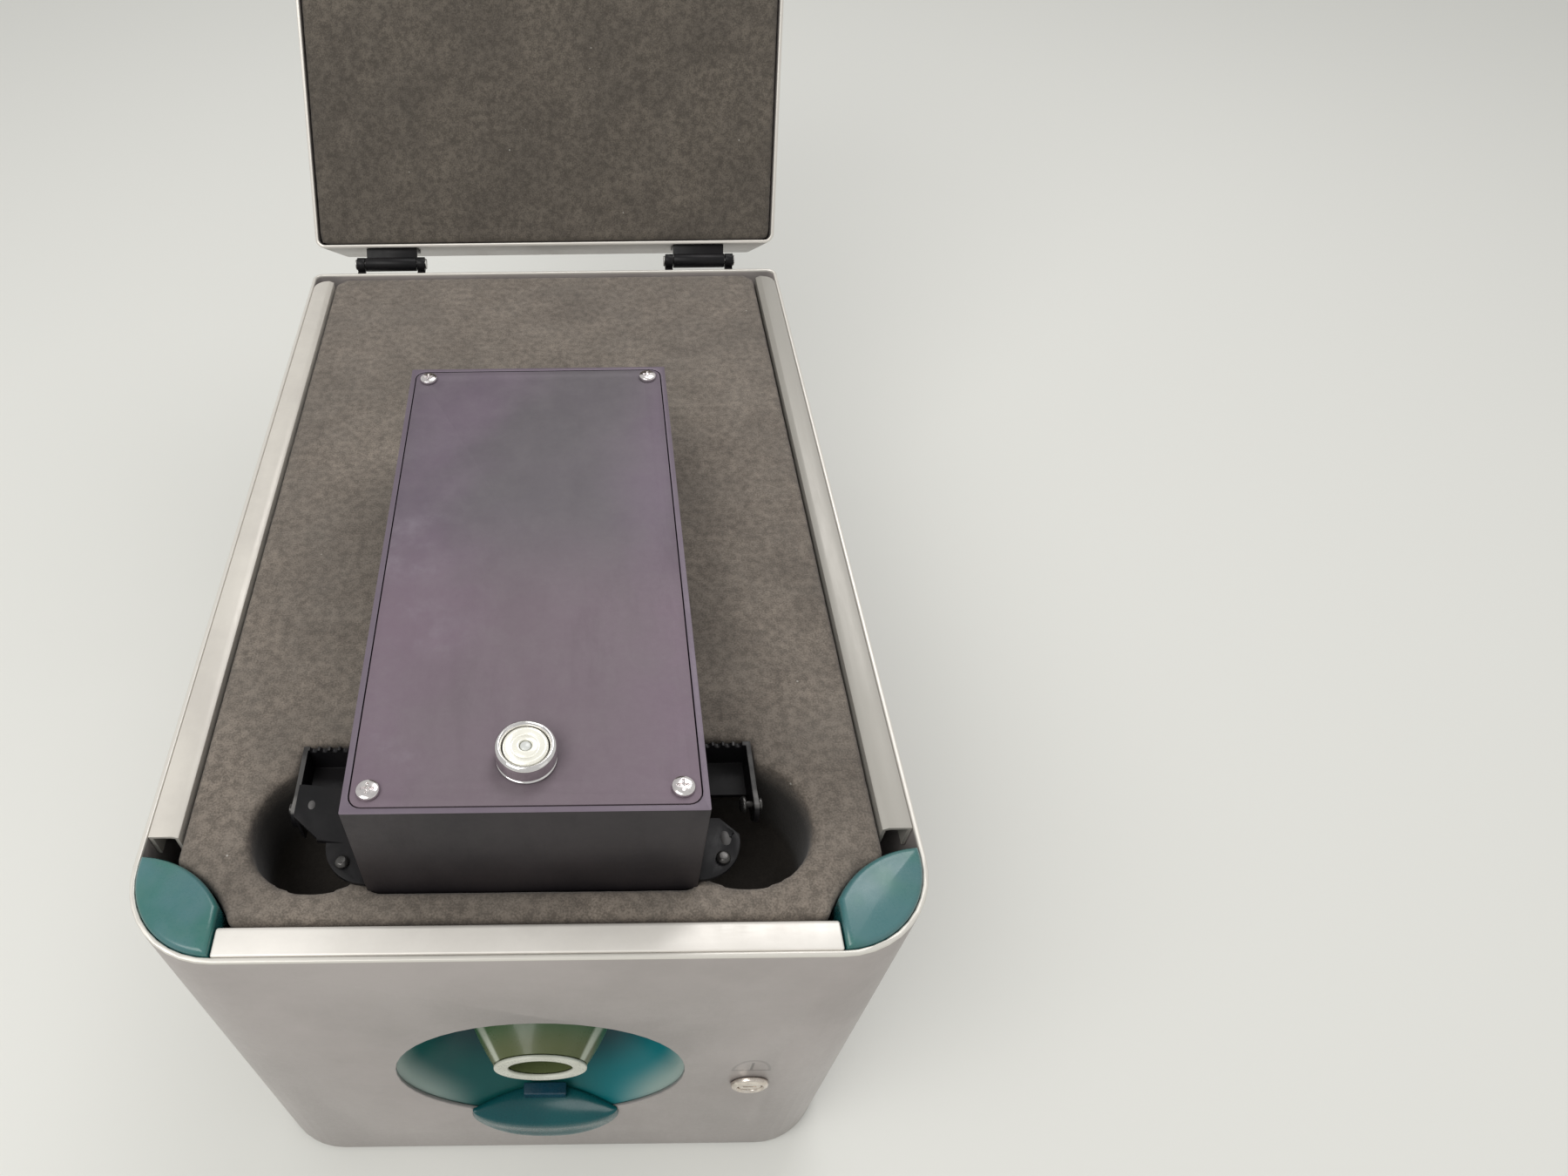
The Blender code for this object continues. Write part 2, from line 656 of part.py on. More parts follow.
def lock():
    """Cam lock: fixed body and nut, and the core with its crank, which turn together."""
    centre = (LOCK_X, FRONT_Y, RIM - LOCK_DROP)
    bore = LOCK_CORE_R + RUN
    body = [
        (bore, -LOCK_HEAD_H), (LOCK_HEAD_R - 0.0012, -LOCK_HEAD_H), (LOCK_HEAD_R, -0.0014),
        (LOCK_HEAD_R, -GAP), (LOCK_BARREL_R, -GAP), (LOCK_BARREL_R, LOCK_BARREL_L),
        (bore, LOCK_BARREL_L),
    ]
    place("lock_body", turned(body, centre, "Y", 32), "chrome")
    nut = [(LOCK_BARREL_R + GAP, WALL + GAP), (LOCK_NUT_R, WALL + GAP),
           (LOCK_NUT_R, WALL + GAP + LOCK_NUT_T), (LOCK_BARREL_R + GAP, WALL + GAP + LOCK_NUT_T)]
    place("lock_nut", lock_nut_mesh(centre, nut), "steel")
    core = [(0, 0.0008 - LOCK_HEAD_H), (LOCK_CORE_R, 0.0008 - LOCK_HEAD_H),
            (LOCK_CORE_R, LOCK_BARREL_L), (0, LOCK_BARREL_L)]
    core = place("lock_core", turned(core, centre, "Y", 32), "chrome")
    way = block((LOCK_X - KEYWAY_L / 2, FRONT_Y - 2 * LOCK_HEAD_H, centre[2] - KEYWAY_W / 2),
                (LOCK_X + KEYWAY_L / 2, FRONT_Y + LOCK_HEAD_H, centre[2] + KEYWAY_W / 2))
    hole(core, way)
    apply_pivot_with_cutters(core, centre)
    cam_front = FRONT_Y + LOCK_BARREL_L + GAP
    cam = joined("lock_cam", "steel", [
        prism(cam_outline(centre), cam_front, cam_front + CAM_T, "Y"),
        rod((centre[0] - CRANK_R * math.sin(math.radians(LOCK_TURN / 2)), cam_front,
             centre[2] + CRANK_R * math.cos(math.radians(LOCK_TURN / 2))), "Y", CRANK_PIN_R,
            CAM_T / 2, LATCH_Y + LATCH_T + 0.0006 - cam_front),
    ])
    apply_pivot_with_cutters(cam, centre)


def lock_nut_mesh(centre, profile):
    """Hexagon nut with a round bore."""
    (bore, low), (outer, _), (_, high), _ = profile
    outline = circle((centre[0], centre[2]), outer, 6)
    inner = circle((centre[0], centre[2]), bore, SMALL)
    return prism(outline, centre[1] + low, centre[1] + high, "Y", holes=[inner])


def cam_outline(centre):
    """Crank: a round hub and a round tip joined by flanks, at half the turn to the left of up."""
    angle = LOCK_TURN / 2
    hub_r, tip_r = LOCK_CORE_R, CRANK_PIN_R + 0.0015
    tip = (centre[0] - CRANK_R * math.sin(math.radians(angle)),
           centre[2] + CRANK_R * math.cos(math.radians(angle)))
    points = arc((centre[0], centre[2]), hub_r, 90 + angle + 70, 90 + angle + 290, 14)
    points += arc(tip, tip_r, 90 + angle - 70, 90 + angle + 70, 8)
    return points


def apply_pivot_with_cutters(obj, pivot):
    """Moves an object's origin, and those of the cutters that its Booleans use, to a joint's axis."""
    apply_pivot(obj, pivot)
    for modifier in obj.modifiers:
        apply_pivot(modifier.object, pivot)


def latch_bar():
    """Flat bar behind the front rail: two hooks for the lid's keepers and a leg down to the lock."""
    top = RIM - LATCH_BAR_TOP
    bottom = RIM - LATCH_BAR_BOTTOM
    under = RIM - KEEPER_DROP - NOTCH_GAP
    over = RIM - KEEPER_DROP + KEEPER_FOOT_T + NOTCH_GAP
    half = KEEPER_W / 2
    left_end = -KEEPER_X - LATCH_TRAVEL - 3 * KEEPER_W
    pin_x = LOCK_X - CRANK_R * math.sin(math.radians(LOCK_TURN / 2))
    leg = (pin_x - LATCH_LEG_W / 2, pin_x + LATCH_LEG_W / 2)
    crank_low = RIM - LOCK_DROP + CRANK_R * math.cos(math.radians(LOCK_TURN / 2))
    foot = crank_low - LATCH_SLOT_L / 3 - LATCH_SLOT_W
    outline = [(left_end, bottom), (leg[0], bottom), (leg[0], foot), (leg[1], foot), (leg[1], top)]
    for keeper in (KEEPER_X, -KEEPER_X):
        right = keeper + half + 2 * NOTCH_GAP
        lip = keeper - half - LATCH_TRAVEL - 2 * NOTCH_GAP
        blind = keeper - half - KEEPER_FOOT - LATCH_TRAVEL - 2 * NOTCH_GAP
        outline += [(right, top), (right, under), (blind, under), (blind, over), (lip, over), (lip, top)]
    outline += [(left_end, top)]
    slot_low = crank_low - CRANK_PIN_R - 2 * NOTCH_GAP
    slot = [(pin_x - LATCH_SLOT_W / 2, slot_low), (pin_x + LATCH_SLOT_W / 2, slot_low),
            (pin_x + LATCH_SLOT_W / 2, slot_low + LATCH_SLOT_L),
            (pin_x - LATCH_SLOT_W / 2, slot_low + LATCH_SLOT_L)]
    place("latch_bar", prism(outline, LATCH_Y, LATCH_Y + LATCH_T, "Y", holes=[slot]), "steel")


# Instrument ------------------------------------------------------------------------------


def housing():
    """Five-sided box with a ledge for the cover, four corner bosses and holes for what is fitted."""
    half = BOX_W / 2
    outline = rounded(half, BOX_Y0, BOX_Y1, BOX_EDGE, BOX_EDGE, BOX_X, 2)
    box = place("housing", prism(outline, BOX_BOTTOM, BOX_TOP), "anodised")
    ledge = COVER_INSET
    room = rounded(half - ledge, BOX_Y0 + ledge, BOX_Y1 - ledge, COVER_R, COVER_R, BOX_X, 5)
    hole(box, prism(room, BOX_TOP - COVER_T - GAP, BOX_TOP + COVER_T))
    low, high = BOX_BOTTOM + BOX_WALL, BOX_TOP - COVER_T / 2
    x0, x1 = BOX_X - half + BOX_WALL, BOX_X + half - BOX_WALL
    y0, y1 = BOX_Y0 + BOX_WALL, BOX_Y1 - BOX_WALL
    hole(box, block((x0, y0, low), (x1, y1, high)))
    for x, y in screw_places():
        right, rear = x > BOX_X, y > (BOX_Y0 + BOX_Y1) / 2
        lows = [x - BOSS_W / 2, y - BOSS_W / 2, BOX_TOP - COVER_T - BOSS_H]
        highs = [x + BOSS_W / 2, y + BOSS_W / 2, BOX_TOP - COVER_T - GAP]
        (highs if right else lows)[0] = x1 + BOX_WALL / 2 if right else x0 - BOX_WALL / 2
        (highs if rear else lows)[1] = y1 + BOX_WALL / 2 if rear else y0 - BOX_WALL / 2
        helper = place(f"housing_boss{len(box.modifiers)}", block(lows, highs), None, helper=True)
        cut(box, helper, "UNION")
        shank = (x, y, BOX_TOP - COVER_T)
        hole(box, rod(shank, "Z", SCREW_SHANK_R + GAP, -SCREW_SHANK_L - 0.001, 0.001, 12))
    port = (BOX_X + PORT_X, BOX_Y1, RIM + PORT_Z)
    hole(box, rod(port, "Y", PORT_R + GAP, -2 * BOX_WALL, BOX_WALL, 16))
    jack = (BOX_X - half, BOX_Y0 + JACK_BACK, RIM + JACK_R * 2)
    hole(box, rod(jack, "X", JACK_R + GAP, -BOX_WALL, 2 * BOX_WALL, 16))


def screw_places():
    x = BOX_W / 2 - SCREW_INSET
    y0, y1 = BOX_Y0 + SCREW_INSET, BOX_Y1 - SCREW_INSET
    return [(BOX_X - x, y0), (BOX_X + x, y0), (BOX_X - x, y1), (BOX_X + x, y1)]


def cover():
    inset = COVER_INSET + COVER_GROOVE
    outline = rounded(BOX_W / 2 - inset, BOX_Y0 + inset, BOX_Y1 - inset,
                      COVER_R - COVER_GROOVE, COVER_R - COVER_GROOVE, BOX_X, 5)
    plate = place("cover_plate", prism(outline, BOX_TOP - COVER_T, BOX_TOP), "anodised")
    for x, y in screw_places():
        hole(plate, rod((x, y, BOX_TOP), "Z", SCREW_SHANK_R + GAP, -2 * COVER_T, COVER_T, 12))
    button = (BOX_X, BOX_Y0 + BUTTON_BACK, BOX_TOP)
    hole(plate, rod(button, "Z", BUTTON_BARREL_R + GAP, -2 * COVER_T, COVER_T, 28))
    for name, (x, y) in zip(("front_left", "front_right", "rear_left", "rear_right"), screw_places()):
        head = [(0, -SCREW_SHANK_L), (SCREW_SHANK_R, -SCREW_SHANK_L), (SCREW_SHANK_R, GAP),
                (SCREW_HEAD_R, GAP), (SCREW_HEAD_R, SCREW_HEAD_H * 0.45),
                (SCREW_HEAD_R * 0.82, SCREW_HEAD_H * 0.85), (SCREW_HEAD_R * 0.5, SCREW_HEAD_H),
                (0, SCREW_HEAD_H)]
        place("cover_screw_" + name, turned(head, (x, y, BOX_TOP), "Z", 16), "chrome")


def button():
    """Metal push button: body with its threaded barrel and nut, sprung cap and its light window."""
    centre = (BOX_X, BOX_Y0 + BUTTON_BACK, BOX_TOP)
    well = BUTTON_CAP_R + RUN
    barrel_in = BUTTON_BARREL_R - 0.0012
    body = [
        (well, BUTTON_H), (BUTTON_R - 0.0012, BUTTON_H), (BUTTON_R, BUTTON_H - 0.0010),
        (BUTTON_R, GAP), (BUTTON_BARREL_R, GAP), (BUTTON_BARREL_R, -BUTTON_BARREL_L),
        (barrel_in, -BUTTON_BARREL_L), (barrel_in, BUTTON_H - BUTTON_WELL),
        (well, BUTTON_H - BUTTON_WELL),
    ]
    place("button_body", turned(body, centre, "Z", 32), "chrome")
    nut = circle((centre[0], centre[1]), BUTTON_NUT_R, 6)
    bore = circle((centre[0], centre[1]), BUTTON_BARREL_R + GAP, 28)
    high = BOX_TOP - COVER_T - GAP
    place("button_nut", prism(nut, high - BUTTON_NUT_H, high, holes=[bore]), "steel")
    face = BUTTON_H - BUTTON_CAP_DROP
    lens = LENS_R + GAP
    cap_low = BUTTON_H - BUTTON_WELL + BUTTON_TRAVEL + RUN
    cap = [(lens, face - 0.0002), (BUTTON_CAP_R * 0.8, face), (BUTTON_CAP_R, face - 0.0003),
           (BUTTON_CAP_R, cap_low), (0, cap_low), (0, face - 0.0020), (lens, face - 0.0020)]
    cap = place("button_cap", turned(cap, centre, "Z", 28), "chrome")
    apply_pivot(cap, centre)
    window = rod(centre, "Z", LENS_R, face - 0.0020 + GAP, face - 0.0001, 16)
    apply_pivot(place("button_window", window, "glass"), centre)


def side_bracket(side, word, out):
    """Folded ear bolted to the box's side, with an arm that lifts about the pivot bolt.

    The ear is a flat tab with a round front, and behind the tab's diagonal edge a strip that
    slopes up to a hanging outer wall. out is how far that wall stands from the box.
    """
    face = BOX_W / 2 + GAP
    front = BOX_Y0 + EAR_BACK
    top = RIM
    high = top + EAR_RISE
    t = EAR_T
    slope = face + EAR_SLOPE_FROM
    section = [
        (face, top - EAR_DROP), (face + t, top - EAR_DROP), (face + t, top - t), (slope, top - t),
        (face + out - t, high - t), (face + out - t, PIVOT_Z - ARM_NOSE_R),
        (face + out, PIVOT_Z - ARM_NOSE_R), (face + out, high), (face + out - t, high),
        (slope, top), (face, top),
    ]
    ear = place("ear_" + word, prism(section, front, PIVOT_Y + ARM_NOSE_R, "Y"), "black")
    edge = BOX_Y0 + EAR_DIAGONAL
    corner = [(slope - t, edge - EAR_SLOPE_FROM), (slope + out, edge - EAR_SLOPE_FROM - out - t),
              (slope + out, front - t), (slope - t, front - t)]
    hole(ear, prism(corner, top - EAR_DROP, high + t))
    trim_x, trim_y = face + out - EAR_TRIM, front + 0.001
    trim = [(trim_x, trim_y), (face + out + t, PIVOT_Y - ARM_NOSE_R + 0.001),
            (face + out + t, front - t), (trim_x, front - t)]
    hole(ear, prism(trim, top - EAR_DROP - t, high + t))
    tab = arc((face, front), EAR_R, -90, 0, 12)
    tab += [(face + EAR_R, edge - EAR_R), (slope, edge - EAR_SLOPE_FROM), (face, edge - EAR_SLOPE_FROM)]
    cut(ear, place(f"ear_{word}_tab", prism(tab, top - t, top), None, helper=True), "UNION")
    pivot_x = face + out
    pin = (pivot_x, PIVOT_Y, PIVOT_Z)
    hole(ear, rod(pin, "X", PIVOT_R + GAP, -2 * t, t, 16))
    bolt_at = (face + EAR_BOLT_X, BOX_Y0 + EAR_BOLT_BACK, top)
    hole(ear, rod(bolt_at, "Z", EAR_BOLT_R / 2 + GAP, -2 * t, t, 12))
    bolt = [(0, -4 * t), (EAR_BOLT_R / 2, -4 * t), (EAR_BOLT_R / 2, GAP), (EAR_BOLT_R, GAP),
            (EAR_BOLT_R, EAR_BOLT_H * 0.5), (EAR_BOLT_R * 0.6, EAR_BOLT_H), (0, EAR_BOLT_H)]
    ear_bolt = place("ear_bolt_" + word, turned(bolt, bolt_at, "Z", 14), "steel")
    head = -t - GAP
    shank = [(0, head - PIVOT_HEAD_H), (PIVOT_HEAD_R * 0.6, head - PIVOT_HEAD_H),
             (PIVOT_HEAD_R, head - PIVOT_HEAD_H * 0.5), (PIVOT_HEAD_R, head), (PIVOT_R, head),
             (PIVOT_R, ARM_T + 3 * GAP), (PIVOT_HEAD_R * 0.8, ARM_T + 3 * GAP),
             (PIVOT_HEAD_R * 0.8, ARM_T + 0.0022), (0, ARM_T + 0.0022)]
    pivot_bolt = place("pivot_bolt_" + word, turned(shank, pin, "X", 16), "steel")
    arm = side_arm(word, pivot_x + GAP, face + ARM_INNER)
    cutters = [m.object for obj in (ear, arm) for m in obj.modifiers]
    for obj in (ear, ear_bolt, pivot_bolt, arm, *cutters):
        if side < 0:
            mirror_x(obj)
        obj.data.transform(Matrix.Translation((BOX_X, 0, 0)))
    apply_pivot_with_cutters(arm, (BOX_X + side * pivot_x, PIVOT_Y, PIVOT_Z))


def side_arm(word, wall_x, inner_x):
    """Open scoop: an outer wall round the pivot, a floor, and a rear wall with a toothed top."""
    low = PIVOT_Z - ARM_DEPTH + ARM_RISE
    high = PIVOT_Z + ARM_RISE
    end = PIVOT_Y + ARM_L
    t = ARM_T
    nose = arc((PIVOT_Y, PIVOT_Z), ARM_NOSE_R, 120, 270, 12)
    outer = [*nose, (PIVOT_Y + ARM_L * 0.4, low), (end, low), (end, high),
             (PIVOT_Y + ARM_L * 0.15, high)]
    floor = block((inner_x, PIVOT_Y + ARM_L * 0.35, low), (wall_x + t / 2, end, low + t))
    arm = joined("side_arm_" + word, "black", [
        prism(outer, wall_x, wall_x + t, "X"),
        floor,
        prism(toothed(inner_x, wall_x + t / 2, low + t / 2, high), end - t, end, "Y"),
    ])
    hole(arm, rod((wall_x, PIVOT_Y, PIVOT_Z), "X", PIVOT_R + GAP, -t, 2 * t, 16))
    return arm


def toothed(x0, x1, low, high):
    """Outline of the rear wall in x and z: a plain plate whose top edge is scalloped."""
    count = int((x1 - x0) // TOOTH_PITCH)
    margin = ((x1 - x0) - count * TOOTH_PITCH) / 2
    points = [(x0, low), (x1, low), (x1, high)]
    for index in range(count):
        centre = x1 - margin - TOOTH_PITCH * (index + 0.5)
        points += arc((centre, high), TOOTH_R, 0, -180, 6)
    return points + [(x0, high)]


def optics():
    """The bench and what stands on it: slit, two mirrors, grating and detector."""
    top = RIM + BENCH_TOP
    y1 = BOX_Y1 - BOX_WALL - 0.008
    y0 = y1 - BENCH_L
    half = BENCH_W / 2
    floor = BOX_BOTTOM + BOX_WALL + GAP
    legs = [rod((BOX_X + sx * (half - 0.008), y, floor), "Z", LEG_R, 0, top - BENCH_T / 2 - floor, 12)
            for sx in (-1, 1) for y in (y0 + 0.008, y1 - 0.008)]
    plate = block((BOX_X - half, y0, top - BENCH_T), (BOX_X + half, y1, top))
    joined("optical_bench", "black", [plate, *legs])
    base_z = top + GAP
    axis_z = RIM + PORT_Z
    slit_y = y1 - 0.010
    slit_x = BOX_X + PORT_X
    slit = place("entrance_slit", block((slit_x - 0.008, slit_y - 0.0015, base_z),
                                        (slit_x + 0.008, slit_y + 0.0015, axis_z + 0.006)), "black")
    hole(slit, block((slit_x - 0.0006, slit_y - 0.01, axis_z - 0.003),
                     (slit_x + 0.0006, slit_y + 0.01, axis_z + 0.003)))
    mirror("collimating_mirror", (slit_x, y0 + 0.016), 8, axis_z - 0.005, base_z)
    mirror("focusing_mirror", (BOX_X - half * 0.42, y0 + 0.016), -14, axis_z - 0.005, base_z)
    grating = block((-0.010, -0.004, base_z), (0.010, 0.004, axis_z + 0.004))
    place_turned("grating", grating, (BOX_X - 0.004, y0 + 0.066), 24, "glass")
    board = block((-0.020, -PCB_T / 2, base_z), (0.020, PCB_T / 2, axis_z + 0.005))
    place_turned("detector_board", board, (BOX_X - half + 0.026, y1 - 0.020), -10, "board")


def place_turned(name, bm, at, degrees, finish):
    """Places a bmesh that is centred on the origin in plan, turned about the vertical."""
    obj = place(name, bm, finish)
    return turn(obj, Matrix.Translation((*at, 0)) @ Matrix.Rotation(math.radians(degrees), 4, "Z"))


def mirror(name, at, degrees, centre_z, base_z):
    """Round mirror in a square-footed cell."""
    cell = joined(name, "chrome", [
        rod((0, 0, centre_z), "Y", MIRROR_R, -MIRROR_T / 2, MIRROR_T / 2, 24),
        block((-MIRROR_R * 0.8, -MIRROR_T, base_z), (MIRROR_R * 0.8, MIRROR_T, base_z + 0.004)),
    ])
    spin = Matrix.Translation((*at, 0)) @ Matrix.Rotation(math.radians(degrees), 4, "Z")
    for obj in (cell, *[m.object for m in cell.modifiers]):
        turn(obj, spin)


def electronics():
    """Lamp, main board, battery, and the port and the charging socket in the walls."""
    floor = BOX_BOTTOM + BOX_WALL + GAP
    y0 = BOX_Y0 + BOX_WALL + 0.006
    place("battery", block((BOX_X - BATTERY_HALF, y0 + 0.006, floor),
                           (BOX_X + BATTERY_HALF, y0 + 0.076, floor + 0.020)), "rubber")
    low = floor + 0.020 + 0.004
    board = block((BOX_X - BOARD_HALF, y0, low), (BOX_X + BOARD_HALF, y0 + 0.104, low + PCB_T))
    posts = [rod((BOX_X + sx * (BOARD_HALF - 0.003), y, floor), "Z", 0.0025, 0, low + PCB_T / 2 - floor, 10)
             for sx in (-1, 1) for y in (y0 + 0.003, y0 + 0.101)]
    joined("main_board", "board", [board, *posts])
    lamp_y = BOX_Y1 - BOX_WALL - BENCH_L / 2
    lamp = [(0, 0), (0.012, 0), (0.012, 0.016), (0.009, 0.018), (0.009, 0.034), (0, 0.036)]
    place("light_source", turned(lamp, (BOX_X, lamp_y, floor), "Z", 24), "steel")
    port = (BOX_X + PORT_X, BOX_Y1, RIM + PORT_Z)
    flange = PORT_R + 0.0018
    profile = [(0, -BOX_WALL - 0.002), (PORT_R, -BOX_WALL - 0.002), (PORT_R, GAP), (flange, GAP),
               (flange, 0.0022), (PORT_R * 0.8, 0.0022), (PORT_R * 0.8, PORT_OUT),
               (PORT_R * 0.4, PORT_OUT), (PORT_R * 0.4, PORT_OUT * 0.4), (0, PORT_OUT * 0.4)]
    place("fibre_port", turned(profile, port, "Y", 20), "chrome")
    jack = (BOX_X - BOX_W / 2, BOX_Y0 + JACK_BACK, RIM + JACK_R * 2)
    shape = [(0, BOX_WALL + 0.004), (JACK_R, BOX_WALL + 0.004), (JACK_R, -GAP), (JACK_R + 0.001, -GAP),
             (JACK_R + 0.001, -JACK_OUT), (JACK_R * 0.5, -JACK_OUT), (JACK_R * 0.5, 0.002), (0, 0.002)]
    place("charging_socket", turned(shape, jack, "X", 16), "black")


# Lid -------------------------------------------------------------------------------------


def on_lid(*objs):
    """Swings pieces built on the closed lid to its open position, with the hinge as their origin."""
    for obj in objs:
        for one in (obj, *[m.object for m in obj.modifiers if m.type == "BOOLEAN"]):
            turn(one, LID_TURN)
            apply_pivot(one, (0, HINGE_Y, RIM))


def lid_shell():
    low = RIM + LID_GAP
    high = low + LID_H
    shell = place("lid_shell", prism(case_outline(0), low, high), "grey_sheet")
    hole(shell, prism(case_outline(WALL), low - WALL, high - WALL))
    on_lid(shell)


def lid_foam():
    """Foam that fills the lid, with a pocket over the instrument and a wider one over its arms."""
    low = RIM + LID_GAP + LID_FOAM_RECESS
    high = RIM + LID_GAP + LID_H - WALL - LID_FOAM_TOP_GAP
    reach = CAP_R + 6 * GAP
    corner = (CASE_W / 2, FRONT_Y)
    half = CASE_W / 2 - WALL - 2 * GAP
    front = FOAM_Y0 + 2 * GAP
    rise = math.degrees(math.asin((front - corner[1]) / reach))
    lean = math.degrees(math.acos((corner[0] - half) / reach))
    right = arc(corner, reach, 180 - rise, 180 - lean, 10)
    left = [(-x, y) for x, y in reversed(right)]
    r = REAR_R - WALL
    rear_y = REAR_Y - WALL - 2 * GAP
    rear = arc((half - r, rear_y - r), r, 0, 90, 5) + arc((r - half, rear_y - r), r, 90, 180, 5)
    foam = place("lid_foam", prism(right + rear + left, low, high), "foam")
    x = BOX_W / 2 + POCKET_GAP
    y0, y1 = BOX_Y0 - POCKET_GAP, BOX_Y1 + PORT_OUT + POCKET_GAP
    hole(foam, block((BOX_X - x, y0, low - 0.01), (BOX_X + x, y1, RIM + POCKET_TOP)))
    arms = block((-ARM_POCKET_X, FRONT_Y + ARM_POCKET_FRONT, low - 0.01),
                 (ARM_POCKET_X, FRONT_Y + ARM_POCKET_REAR, RIM + ARM_POCKET_TOP))
    hole(foam, arms)
    on_lid(foam)


def keeper():
    """Bent strip inside the lid's front wall, with two hooked tabs that hang into the latch slit."""
    low = RIM + LID_GAP + 0.006
    t = LATCH_T
    y0 = FRONT_Y + WALL + GAP
    end = KEEPER_X + 3 * KEEPER_W
    y1 = LATCH_Y + t + GAP
    section = [(y0, low), (y1, low), (y1, low + t), (y0 + t, low + t),
               (y0 + t, low + 0.016), (y0, low + 0.016)]
    half = KEEPER_W / 2
    foot = RIM - KEEPER_DROP
    pieces = [prism(section, -end, end, "X")]
    for x in (-KEEPER_X, KEEPER_X):
        hook = [(x - half, low + t / 2), (x - half, foot + KEEPER_FOOT_T),
                (x - half - KEEPER_FOOT, foot + KEEPER_FOOT_T), (x - half - KEEPER_FOOT, foot),
                (x + half, foot), (x + half, low + t / 2)]
        pieces.append(prism(hook, LATCH_Y, LATCH_Y + t, "Y"))
    on_lid(joined("lid_keeper", "steel", pieces))


def hinge(x, word):
    """Case leaf with two end knuckles, lid leaf with the middle knuckle, and the pin."""
    axis = (x, HINGE_Y, RIM)
    half = HINGE_L / 2
    middle = HINGE_KNUCKLE / 2
    bore = HINGE_PIN_R + GAP
    face = REAR_Y + GAP
    t = HINGE_LEAF_T
    knuckle = [(bore, 0), (HINGE_R, 0), (HINGE_R, 1), (bore, 1)]

    def barrel(low, high):
        return turned([(r, low + (high - low) * h) for r, h in knuckle], axis, "X", 24)

    def web(z_sign):
        """Leaf against the wall, and the arm from it to the barrel, in y and z."""
        z0, z1 = 0.0040, HINGE_LEAF_H
        return [(face, RIM + z_sign * z0), (HINGE_Y - 0.001, RIM + z_sign * 0.0026),
                (HINGE_Y - 0.001, RIM + z_sign * 0.0042), (face + t, RIM + z_sign * (z0 + t)),
                (face + t, RIM + z_sign * z1), (face, RIM + z_sign * z1)]

    gap = 2 * GAP
    case_leaf = joined("hinge_leaf_case_" + word, "black", [
        prism(web(-1), x - half, x - middle - gap, "X"),
        prism(web(-1), x + middle + gap, x + half, "X"),
        block((x - half, face, RIM - HINGE_LEAF_H), (x + half, face + t, RIM - HINGE_LEAF_H + 0.014)),
        barrel(-half, -middle - gap),
        barrel(middle + gap, half),
    ])
    hole(case_leaf, rod(axis, "X", bore, -half - t, half + t, 16))
    lid_leaf = joined("hinge_leaf_lid_" + word, "black", [
        prism(web(1), x - middle, x + middle, "X"),
        barrel(-middle, middle),
    ])
    hole(lid_leaf, rod(axis, "X", bore, -half - t, half + t, 16))
    on_lid(lid_leaf)
    head = HINGE_R * 0.75
    pin = [(0, -half - 0.0012), (head, -half - 0.0012), (head, -half - GAP), (HINGE_PIN_R, -half - GAP),
           (HINGE_PIN_R, half + GAP), (head, half + GAP), (head, half + 0.0012), (0, half + 0.0012)]
    place("hinge_pin_" + word, turned(pin, axis, "X", 16), "steel")


def build():
    clear_scene()
    case_shell()
    base()
    side_rail("side_rail_left", -1)
    side_rail("side_rail_right", 1)
    front_rail()
    corner_cap("corner_cap_left", -1)
    corner_cap("corner_cap_right", 1)
    foam_insert()
    shelf()
    grip()
    lock()
    latch_bar()
    housing()
    cover()
    button()
    side_bracket(-1, "left", EAR_REACH_LEFT)
    side_bracket(1, "right", EAR_REACH_RIGHT)
    optics()
    electronics()
    lid_shell()
    lid_foam()
    keeper()
    hinge(-HINGE_X, "left")
    hinge(HINGE_X, "right")


build()
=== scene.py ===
"""Portable spectrophotometer in its open instrument case, seen close from above the front.

Metres, +Z up, +X the case's right, +Y the rear, where the lid is hinged.
"""

import json
import math

import bmesh
import bpy
import numpy as np
from mathutils import Matrix, Vector

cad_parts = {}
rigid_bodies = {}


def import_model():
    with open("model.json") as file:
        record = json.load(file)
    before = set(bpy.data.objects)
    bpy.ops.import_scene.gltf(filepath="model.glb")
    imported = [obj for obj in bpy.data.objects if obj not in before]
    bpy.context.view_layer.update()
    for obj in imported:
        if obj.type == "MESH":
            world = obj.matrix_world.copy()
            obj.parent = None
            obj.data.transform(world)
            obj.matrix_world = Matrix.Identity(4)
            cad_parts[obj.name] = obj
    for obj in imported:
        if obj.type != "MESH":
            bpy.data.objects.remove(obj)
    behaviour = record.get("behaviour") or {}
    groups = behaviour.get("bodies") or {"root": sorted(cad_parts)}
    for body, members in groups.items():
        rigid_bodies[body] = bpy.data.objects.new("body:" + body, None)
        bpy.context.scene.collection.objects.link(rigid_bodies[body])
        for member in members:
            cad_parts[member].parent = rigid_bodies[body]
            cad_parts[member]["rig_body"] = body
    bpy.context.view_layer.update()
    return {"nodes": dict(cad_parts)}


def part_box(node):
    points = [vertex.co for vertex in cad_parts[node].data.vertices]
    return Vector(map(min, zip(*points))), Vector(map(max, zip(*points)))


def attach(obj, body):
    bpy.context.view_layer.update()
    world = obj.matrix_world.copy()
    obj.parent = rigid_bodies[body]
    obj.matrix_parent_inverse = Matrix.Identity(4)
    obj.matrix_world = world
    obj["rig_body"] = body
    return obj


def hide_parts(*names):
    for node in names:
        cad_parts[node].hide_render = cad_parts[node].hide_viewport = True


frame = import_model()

nodes = frame["nodes"]
scene = bpy.context.scene


# Camera ----------------------------------------------------------------------------------
# Held above the case's front edge and tipped well down, so that the instrument's cover and
# the front of the case are both in view.

